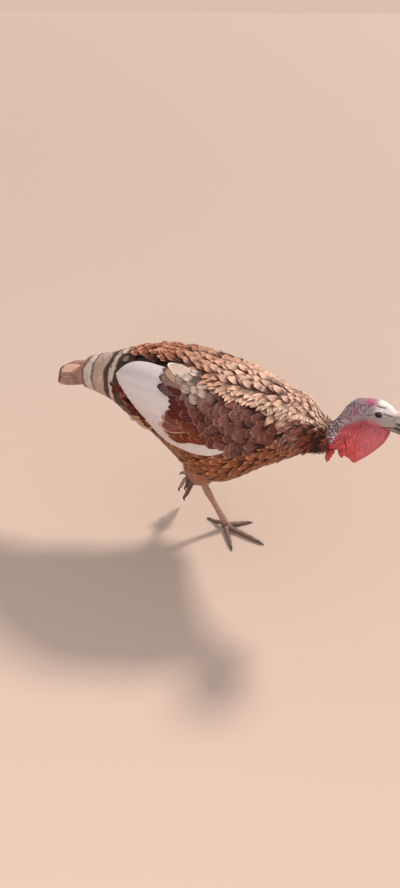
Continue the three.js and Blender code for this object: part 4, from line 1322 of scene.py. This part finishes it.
vent = rows(rng, -0.150, -0.222, lambda x, a: a > WING_LOW_LINE(x) + 0.1)
tract("fluff_vent", "rump_plume", soft, rng, dress(rng, vent, long=3.2, wide=0.50, sway=0.22),
      LOOSE_END, (-0.0035, 0.0042, 0.0), blank=tuft_blank, loose=0.35, fray=0.07,
      tuck=under_wing)
# Dark maroon feathers along the wing's lower edge: partly the flank's own colour, partly painted
# shade under the edge of the wing.
flank = rows(rng, -0.090, -0.256, pitch=lambda x: 0.017, keep=lambda x, a: (
    (a > WING_LOW_LINE(x) - np.where(x > -0.215, 0.12, 0.32))
    & (a < WING_LOW_LINE(x) + np.where(x > -0.15, 0.04, 0.12))))
tract("feathers_flank", "rump_plume", rump_vane, rng,
      dress(rng, flank, long=2.6, turn=0.35,
            tones=lambda x, a: (linear("6A2C20"), linear("4A1E18"))),
      ROUND_END, (-0.0030, 0.0036, 0.0), tuck=under_wing)

# ---------------------------------------------------------------- tail coverts
# The tail's root is hidden by curved rows of long broad coverts, rooted in the rump's skin.
# Dark and whitish bars run across all of them, so that from the side they ring the rump.

BAR_FROM, BAR_LONG = -0.250, 0.160  # where along the body the bars start and how far they run


def tail_bars(tree):
    """The bars' colours, by the place along the body, with wavering frayed edges."""
    place = spot_of(tree)
    waver, frayed = clouds(tree, place, 22.0, 2.0), clouds(tree, place, 240.0, 3.0)
    along = node(tree, "ShaderNodeSeparateXYZ", Vector=place).outputs["X"]
    back = math_node(tree, "SUBTRACT", BAR_FROM, along)
    shift = math_node(tree, "ADD", math_node(tree, "MULTIPLY_ADD", waver, 0.022, -0.011),
                      math_node(tree, "MULTIPLY_ADD", frayed, 0.010, -0.005))
    share = math_node(tree, "DIVIDE", math_node(tree, "ADD", back, shift), BAR_LONG)
    return ramp(tree, share, (0.00, "8E4A30"), (0.06, "2C1412"), (0.20, "34191A"),
                (0.24, "D6C6BA"), (0.32, "CDBBB0"), (0.35, "351B18"), (0.43, "46241E"),
                (0.47, "C9B0A4"), (0.68, "BDA298"), (0.71, "4A302A"), (0.74, "DCD2CC"),
                (0.87, "D2C6C2"), (0.90, "54382F"), (0.95, "B08878"))


covert, shader = grown_material("barred tail covert", web, 0.55, 0.0005, {
    "Margin": 0.14, "Margin Strength": 0.35, "Barbs": 40.0, "Barb Contrast": 0.35,
    "Shaft": 0.2}, over=tail_bars)
shader.inputs["Sheen Weight"].default_value = 0.06

long_blank = vane_blank(6, 9)
rings = rows(rng, -0.220, -0.400, pitch=lambda x: 0.019, step=0.85, jitter=0.08,
             keep=lambda x, a: np.where(
                 x > -0.235, a > 1.5, np.where(x > -0.262, (a < 0.9) | (a > 1.35), a < 3.2)))
tract("coverts_tail", "pale_feather", covert, rng,
      dress(rng, rings, long=2.6, wide=0.74, sway=0.05, shade=0.06,
            tones=lambda x, a: (linear("F4F0EC"), linear("B49A8C"))),
      BROAD_END, (-0.0025, 0.0032, 0.0), blank=long_blank, loose=0.08, fray=0.015,
      tuck=lambda x, a: 0.0035 * smooth(x, -0.285, -0.262) * (a < 1.2))

# ---------------------------------------------------------------- neck feathers
# Small close feathers, rooted like the body's, clothe the thick lower neck and shrink towards
# the bare head. There they end in a collar of short dark bristles.

small_contour = vane_material("neck feather", 0.0004, Margin=0.20, Margin_Strength=0.6,
                              Barbs=14.0, Streaks=0.5, Base_Shade=0.95, Mottle=0.4)
HACKLE_END = (0.35, 0.45, 0.22, 0.10)
neck = rows(rng, 0.240, 0.165, lambda x, a: x > 0.17 + 0.015 * (a < 1))
tract("feathers_neck", "body_feather", small_contour, rng,
      dress(rng, neck, long=3.3, wide=0.50, shade=0.16, turn=fan_down(neck, 0.3, 1.0, 0.8)),
      HACKLE_END, (-0.0020, 0.0030, 0.0), loose=0.4)
collar = rows(rng, 0.254, 0.232, lambda x, a: x > 0, pitch=lambda x: 0.0042, step=0.55)
tract("bristles_collar", "body_feather", small_contour, rng,
      dress(rng, collar, long=3.4, wide=0.30, sway=0.3, shade=0.3), LOOSE_END,
      (-0.0012, 0.0030, 0.0), blank=tuft_blank, loose=0.5, fray=0.08)

# ---------------------------------------------------------------- thigh fluff
# The thighs are clothed to the hock in soft, narrow, pinkish-tan plumes. They are rooted all
# round the leg in close rings and point down it, shorter towards the hock.

FLUFF_PITCH, FLUFF_RING = 0.0064, 0.0062  # between plumes round the leg, and between rings
rng = np.random.default_rng(23)
for leg, thigh in THIGHS.items():
    places, angles = [], []
    u, shift = 0.0, 0.0
    while u < thigh.length * 0.955:
        reach = float(thigh.size(u / thigh.length))
        count = max(8, round(2 * math.pi * reach / FLUFF_PITCH))
        places.append(u + rng.normal(0, 0.0016, count))
        angles.append((np.arange(count) + shift) / count * 2 * math.pi - math.pi
                      + rng.normal(0, 0.05, count))
        u, shift = u + FLUFF_RING, 0.5 - shift
    u, a = np.concatenate(places), np.concatenate(angles)
    n = len(u)
    share = u / thigh.length
    size = np.interp(share, [0.1, 0.6, 0.95], [0.0130, 0.0090, 0.0046])
    tint = 1 + rng.normal(0, 0.09, (n, 1))
    low, high = smooth(share, 0.65, 0.95), smooth(share, 0.42, 0.16)
    ground = blend("B27E68", (high, "A06548"), (low * 0.5, "BC9280"))
    edge = blend("CBA48F", (high, "A8765C"))
    spots = {"u": u, "a": a, "side": 1, "turn": math.pi + rng.normal(0, 0.2, n),
             "length": size * 2.9, "half": size * 0.38,
             "ground": np.clip(ground * tint, 0, 1), "edge": np.clip(edge * tint, 0, 1)}
    points = lay_vanes(tuft_blank, rng, spots,
                       lambda u, a, h, thigh=thigh: thigh.place(u / thigh.length, a, h),
                       lambda u, a, thigh=thigh: np.maximum(thigh.size(u / thigh.length), 0.008)
                       + 0 * a, LOOSE_END, (-0.0060, 0.0016, 0.0), loose=0.25, fray=0.06)
    patch = np.stack([(0.04 if leg == "right" else 0.54) + 0.42 * share,
                      0.72 + 0.12 * np.mod(a / (2 * math.pi) + 0.5, 1.0)], -1)
    vane_piece(f"fluff_thigh_{leg}", tuft_blank, points, spots, patch, soft, "rump_plume")

# ---------------------------------------------------------------- wings
# Each wing is folded on the side of the body. Its long white secondaries lie one over the
# next from the top down; broad cream tertials, streaked maroon greater coverts and rows of
# small scalloped coverts cover their roots in turn.

quill_blank = vane_blank(10, 26)
QUILL_END = (0.45, 0.75, 0.45, 0.05)
WIDE_END = (0.40, 0.68, 0.80, 0.14)


def between(rng, side, roots, ends, half, count, sway=0.0):
    """Vanes laid from places along one line to places along another, each in millimetres
    along the body and degrees down from the top of the back."""
    t = np.linspace(0, 1, count)
    along = [np.stack([np.interp(t, np.linspace(0, 1, len(line)), np.array(line, float)[:, k])
                       for k in (0, 1)], -1) for line in (roots, ends)]
    (u0, a0), (u1, a1) = ((line[:, 0] / 1000, np.radians(line[:, 1])) for line in along)
    middle = radius_at((u0 + u1) / 2, side * (a0 + a1) / 2)
    drop = (a1 - a0) * middle
    return {"u": u0, "a": side * a0, "side": np.full(len(t), float(side)), "t": t,
            "length": np.hypot(u0 - u1, drop), "turn": np.arctan2(drop, u0 - u1)
            + rng.normal(0, sway, len(t)), "half": np.interp(t, np.linspace(0, 1, len(half)), half)}


def paint(rng, spots, ground, edge, shade=0.04):
    """Colours for vanes by their place in the row, from two short lists of tones."""
    t = spots["t"]
    for label, tones in (("ground", ground), ("edge", edge)):
        tones = np.array([linear(c) for c in tones])
        at = np.linspace(0, 1, len(tones))
        spots[label] = np.clip(np.stack([np.interp(t, at, tones[:, k]) for k in range(3)], -1)
                               * (1 + rng.normal(0, shade, (len(t), 1))), 0, 1)
    return spots


white_quill = vane_material("white flight feather", 0.0003, 0.15, Margin=0.08,
                            Margin_Strength=0.15, Barbs=90.0, Barb_Contrast=0.08, Shaft=0.2,
                            Mottle=0.12)
streaked = vane_material("streaked covert", gloss=0.15, Margin=0.14, Margin_Strength=0.7,
                         Barbs=30.0, Barb_Contrast=0.2, Mottle=0.35, Streaks=0.95,
                         Base_Shade=0.6)
scalloped = vane_material("scalloped covert", gloss=0.15, Margin=0.14, Margin_Strength=0.5,
                          Barbs=18.0, Streaks=0.7, Mottle=0.55, Base_Shade=0.95)
tertial_vane = vane_material("tertial", 0.0004, 0.1, Margin=0.12, Margin_Strength=0.95,
                             Barbs=60.0, Barb_Contrast=0.2, Mottle=0.3, Streaks=0.4)


def lesser_tones(x, angle):
    """Wing coverts: grey-cream along the wing's upper edge behind, purplish brown ahead and
    maroon towards the greater coverts. The purplish brown is partly painted shade: the
    coverts' own brown darkened and made more purple."""
    x = np.asarray(x, float) * 1000
    a = np.abs(np.degrees(angle))
    pale = smooth(x, 20, -30) * smooth(a, 50, 40)
    maroon = smooth(x, 40, -10) * smooth(a, 48, 56)
    ground = blend("744840", (smooth(x, 90, 150), "683A2C"),
                   (maroon * 0.8, "5E2824"), (pale, "AD9B90"))
    edge = blend("A07A6C", (smooth(x, 90, 150), "8E6454"),
                 (maroon * 0.7, "925648"), (pale, "6A4E44"))
    return ground, edge


def lowest(x):
    """How far above the wing's lower edge the small coverts end, in radians."""
    return np.interp(x, [-0.05, 0.0, 0.03, 0.05, 0.065, 0.078, 0.13],
                     [0.36, 0.27, 0.32, 0.32, 0.10, -0.08, -0.12])


def under_mantle(x, a):
    """The wing's upper edge lies beneath the feathers of the back."""
    return 0.0035 * smooth(a, WING_TOP_LINE(x) + 0.14, WING_TOP_LINE(x) - 0.02)


for hand, side in SIDES:
    rng = np.random.default_rng(37)
    lower = 0 if hand == "right" else 20  # degrees: the left wing is held a little lower
    quills = paint(rng, between(rng, side, [(-34, 31 + lower / 2), (0, 58), (36, 82)],
                                [(-262, 43 + lower / 2), (-280, 56 + lower / 4), (-266, 68),
                                 (-236, 82), (-202, 95), (-150, 103)],
                                (0.018, 0.019, 0.018), 15),
                   ("CBC1C4", "D2C8CB", "D0C4C6", "D3BEBA"), ("C4BABC", "C8BEC0", "C8B6B2"))
    tract(f"secondaries_{hand}", "pale_feather", white_quill, rng, quills, QUILL_END,
          (-0.0016, 0.0010, 0.0004), f"flight_feathers_{hand}", blank=quill_blank,
          camber=0.008, thick=0.0002, fray=0.003, loose=0.0)
    primaries = paint(rng, between(rng, side, [(74, 76), (92, 82)], [(-112, 99), (-20, 91)],
                                   (0.011, 0.009), 6),
                      ("D2C6C4", "CDBFBC"), ("8F7F7F", "8A7470"))
    tract(f"primaries_{hand}", "pale_feather", white_quill, rng, primaries, QUILL_END,
          (-0.0010, 0.0018, 0.0008), blank=quill_blank, camber=0.02, thick=0.00025, fray=0.003,
          loose=0.0)
    greater = paint(rng, between(rng, side, [(-30, 40), (2, 54), (26, 64), (52, 76)],
                                 [(-112, 48), (-98, 57), (-92, 65), (-100, 73), (-120, 84),
                                  (-98, 89), (-66, 85), (-30, 80), (8, 75)],
                                 (0.013, 0.012, 0.014, 0.017, 0.014, 0.011), 15, 0.02),
                    ("5C211F", "5E221E", "5E2218", "90584A", "6A2A18", "7C3A1C", "6E3224"),
                    ("35120F", "4E1C17", "5A2016", "E0B8A4", "8A4828", "A0623C", "6A3A2C"),
                    0.10)
    tract(f"coverts_greater_{hand}", "covert_feather", streaked, rng, greater, BROAD_END,
          (0.0004, 0.0040, 0.0010), blank=long_blank, camber=0.05, fray=0.01, loose=0.05)
    median = paint(rng, between(rng, side, [(-14, 46), (18, 60), (62, 77)],
                                [(-82, 52), (-64, 60), (-58, 68), (-70, 74), (-36, 75), (18, 73)],
                                (0.012, 0.013, 0.010), 10, 0.05),
                   ("5E2622", "642A24", "7A3C24", "70382A"),
                   ("7E4E42", "8C5644", "A4704E", "8C5E4C"), 0.13)
    tract(f"coverts_median_{hand}", "covert_feather", streaked, rng, median, BROAD_END,
          (0.0004, 0.0048, 0.0012), blank=long_blank, camber=0.07, fray=0.012, loose=0.1)
    tertials = paint(rng, between(rng, side, [(-36, 28 + lower), (-30, 40 + lower)],
                                  [(-140, 24 + lower), (-142, 38 + lower), (-136, 52)],
                                  (0.018, 0.020, 0.017), 4),
                     ("CBB5A8", "A08472", "84695C", "664A4C"),
                     ("E4DAD4", "644238", "4A2A26", "421E20"))
    tract(f"tertials_{hand}", "pale_feather", tertial_vane, rng, tertials, BROAD_END,
          (0.0004, 0.0046, 0.0009), blank=quill_blank, camber=0.05, fray=0.008, loose=0.0)
    within = rows(
        rng, 0.165, -0.075, pitch=lambda x: 0.0195, step=0.70, keep=lambda x, a: (
            (a > WING_TOP_LINE(x) - 0.03 + lower / 90) & (a < WING_LOW_LINE(x) - lowest(x))
            & (x > np.interp(a, [0.45, 0.75, 0.95, 1.20], [-0.066, -0.040, -0.006, 0.030]))))
    within = among(within, within["side"] == side)
    tract(f"coverts_small_{hand}", "covert_feather", scalloped, rng,
          dress(rng, within, long=2.3, wide=0.74, turn=0.16, sway=0.18, tones=lesser_tones,
                shade=0.2), WIDE_END, (0.0002, 0.0046, 0.0005), f"wing_coverts_{hand}",
          loose=0.2, tuck=under_mantle)
    small = paint(rng, between(rng, side, [(-44, 21 + lower), (-50, 31 + lower)],
                               [(-80, 20 + lower), (-88, 32 + lower)],
                               (0.0052, 0.0056), 9, 0.16),
                  ("DAD0CC", "B98E74", "D8CCC6", "D0C4BE"), ("8A6A5C", "E0D4CC", "7A5648"), 0.12)
    tract(f"white_feathers_{hand}", "pale_feather", scalloped, rng, small, ROUND_END,
          (0.0020, 0.0068, 0.0003))

# ---------------------------------------------------------------- mantle fringe
# The lowest feathers of the back hang out over the top of the folded wing as a ragged fringe.
# They lie in two staggered rows, with shade between them.

fringe = vane_material("mantle fringe", Margin=0.16, Margin_Strength=0.6, Barbs=20.0,
                       Streaks=0.5, Mottle=0.3, Base_Shade=0.7)
FRINGE_ROOTS = np.array([(-30, 19), (62, 23), (142, 26), (200, 35)])
FRINGE_ENDS = np.array([(-46, 31), (51, 38.5), (134, 44.5), (190, 51)])
for hand, side in SIDES:
    rng = np.random.default_rng(53)
    parts = [between(rng, side, FRINGE_ROOTS + (lead, -rise), FRINGE_ENDS + (lead, -rise),
                     (0.0066, 0.0062, 0.0056, 0.0050), count, 0.16)
             for lead, rise, count in ((0, 0, 36), (5, 6, 34))]
    hanging = {k: np.concatenate([p[k] for p in parts]) for k in parts[0]}
    vary = 1 + rng.normal(0, 0.10, len(hanging["u"]))
    hanging["length"] = hanging["length"] * vary
    hanging = paint(rng, hanging, ("D09A7C", "E4BCA4", "ECCCB8", "E8C8B4"),
                    ("7A4630", "F0D4C0", "9A6448", "F4DCCA", "A8745C"), 0.14)
    tract(f"fringe_mantle_{hand}", "body_feather", fringe, rng, hanging, ROUND_END,
          (-0.0010, 0.0070, 0.0004), loose=0.15)

# ---------------------------------------------------------------- tail
# Eighteen broad quills, rooted in the fleshy end of the back, close into a narrow fan with
# the middle pair on top. Brown, with a fine grain along each feather and a darker rim.

QUILLS, QUILL_FROM, QUILL_TO = 18, -0.392, -0.505
TAIL_ROOT, TAIL_LONG, TAIL_HIGH, TAIL_LEAN = -0.398, 0.110, 0.376, math.radians(15)


def on_tail(u, a, height):
    """Points of the fan: u back along the body, a across it, height from its middle."""
    t = np.clip((TAIL_ROOT - u) / TAIL_LONG, 0, 1.05)
    across = np.clip(a / 0.045, -1, 1)
    z = TAIL_HIGH - 0.014 * t - 0.005 * across**2 * (0.7 + 0.3 * t) + math.tan(TAIL_LEAN) * a
    return np.stack([u + 0 * z, MIDLINE + a - height * math.sin(TAIL_LEAN),
                     z + height * math.cos(TAIL_LEAN)], -1)


def level(u, a):
    """The fan's own radius: it lies flat, so distances across it are as they stand."""
    return 1.0 + 0 * u * a


tail_vane = vane_material("tail quill", 0.0004, 0.1, Margin=0.12, Margin_Strength=1.0,
                          Barbs=70.0, Barb_Contrast=0.25, Shaft=0.5, Mottle=0.3, Streaks=0.35)
rng = np.random.default_rng(41)
order = np.arange(QUILLS)
layer = order // 2  # each pair lies beneath the last, a little shorter and further out
hand = np.where(order % 2, 1.0, -1.0)
root_side, end_side = hand * layer * 0.0026, hand * (0.003 + layer * 0.0040)
run = QUILL_FROM - (QUILL_TO + 0.0020 * layer)
tint = 1 + rng.normal(0, 0.05, (QUILLS, 1))
parts = []
for i in range(QUILLS):
    one = {"u": [QUILL_FROM], "a": root_side[i], "side": 1, "half": 0.0165,
           "length": np.hypot(run[i], end_side[i] - root_side[i]),
           "turn": np.arctan2(end_side[i] - root_side[i], run[i])}
    parts.append(lay_vanes(quill_blank, rng, one, on_tail, level, (0.5, 0.8, 0.62, 0.06),
                           (0.013 - 0.0032 * layer[i], 0.0012 - 0.00045 * layer[i], 0.0),
                           camber=0.03, thick=0.0004, fray=0.004, loose=0.0))
colours = {"ground": linear("DDB09C") * tint, "edge": linear("6A4236")}
patch = np.stack([0.05 + 0.9 * order / QUILLS, np.full(QUILLS, 0.90)], -1)
vane_piece("tail_quills", quill_blank, np.vstack(parts), colours, patch, tail_vane,
           "tail_feather", "tail")

# A few short dark feathers stand below the tail's root.
rng = np.random.default_rng(61)
short = {"u": [-0.402, -0.405, -0.400, -0.404], "a": [-0.014, -0.006, 0.004, 0.014], "side": 1,
         "turn": rng.normal(0, 0.08, 4), "length": 0.048, "half": 0.008}
points = lay_vanes(long_blank, rng, short, on_tail, level, BROAD_END, (-0.018, -0.016, 0.0),
                   camber=0.1)
vane_piece("feathers_undertail", long_blank, points,
           {"ground": linear("6A3E2E"), "edge": linear("2E1812")},
           np.array([[0.1 * k + 0.3, 0.96] for k in range(4)]), streaked, "tail_feather")
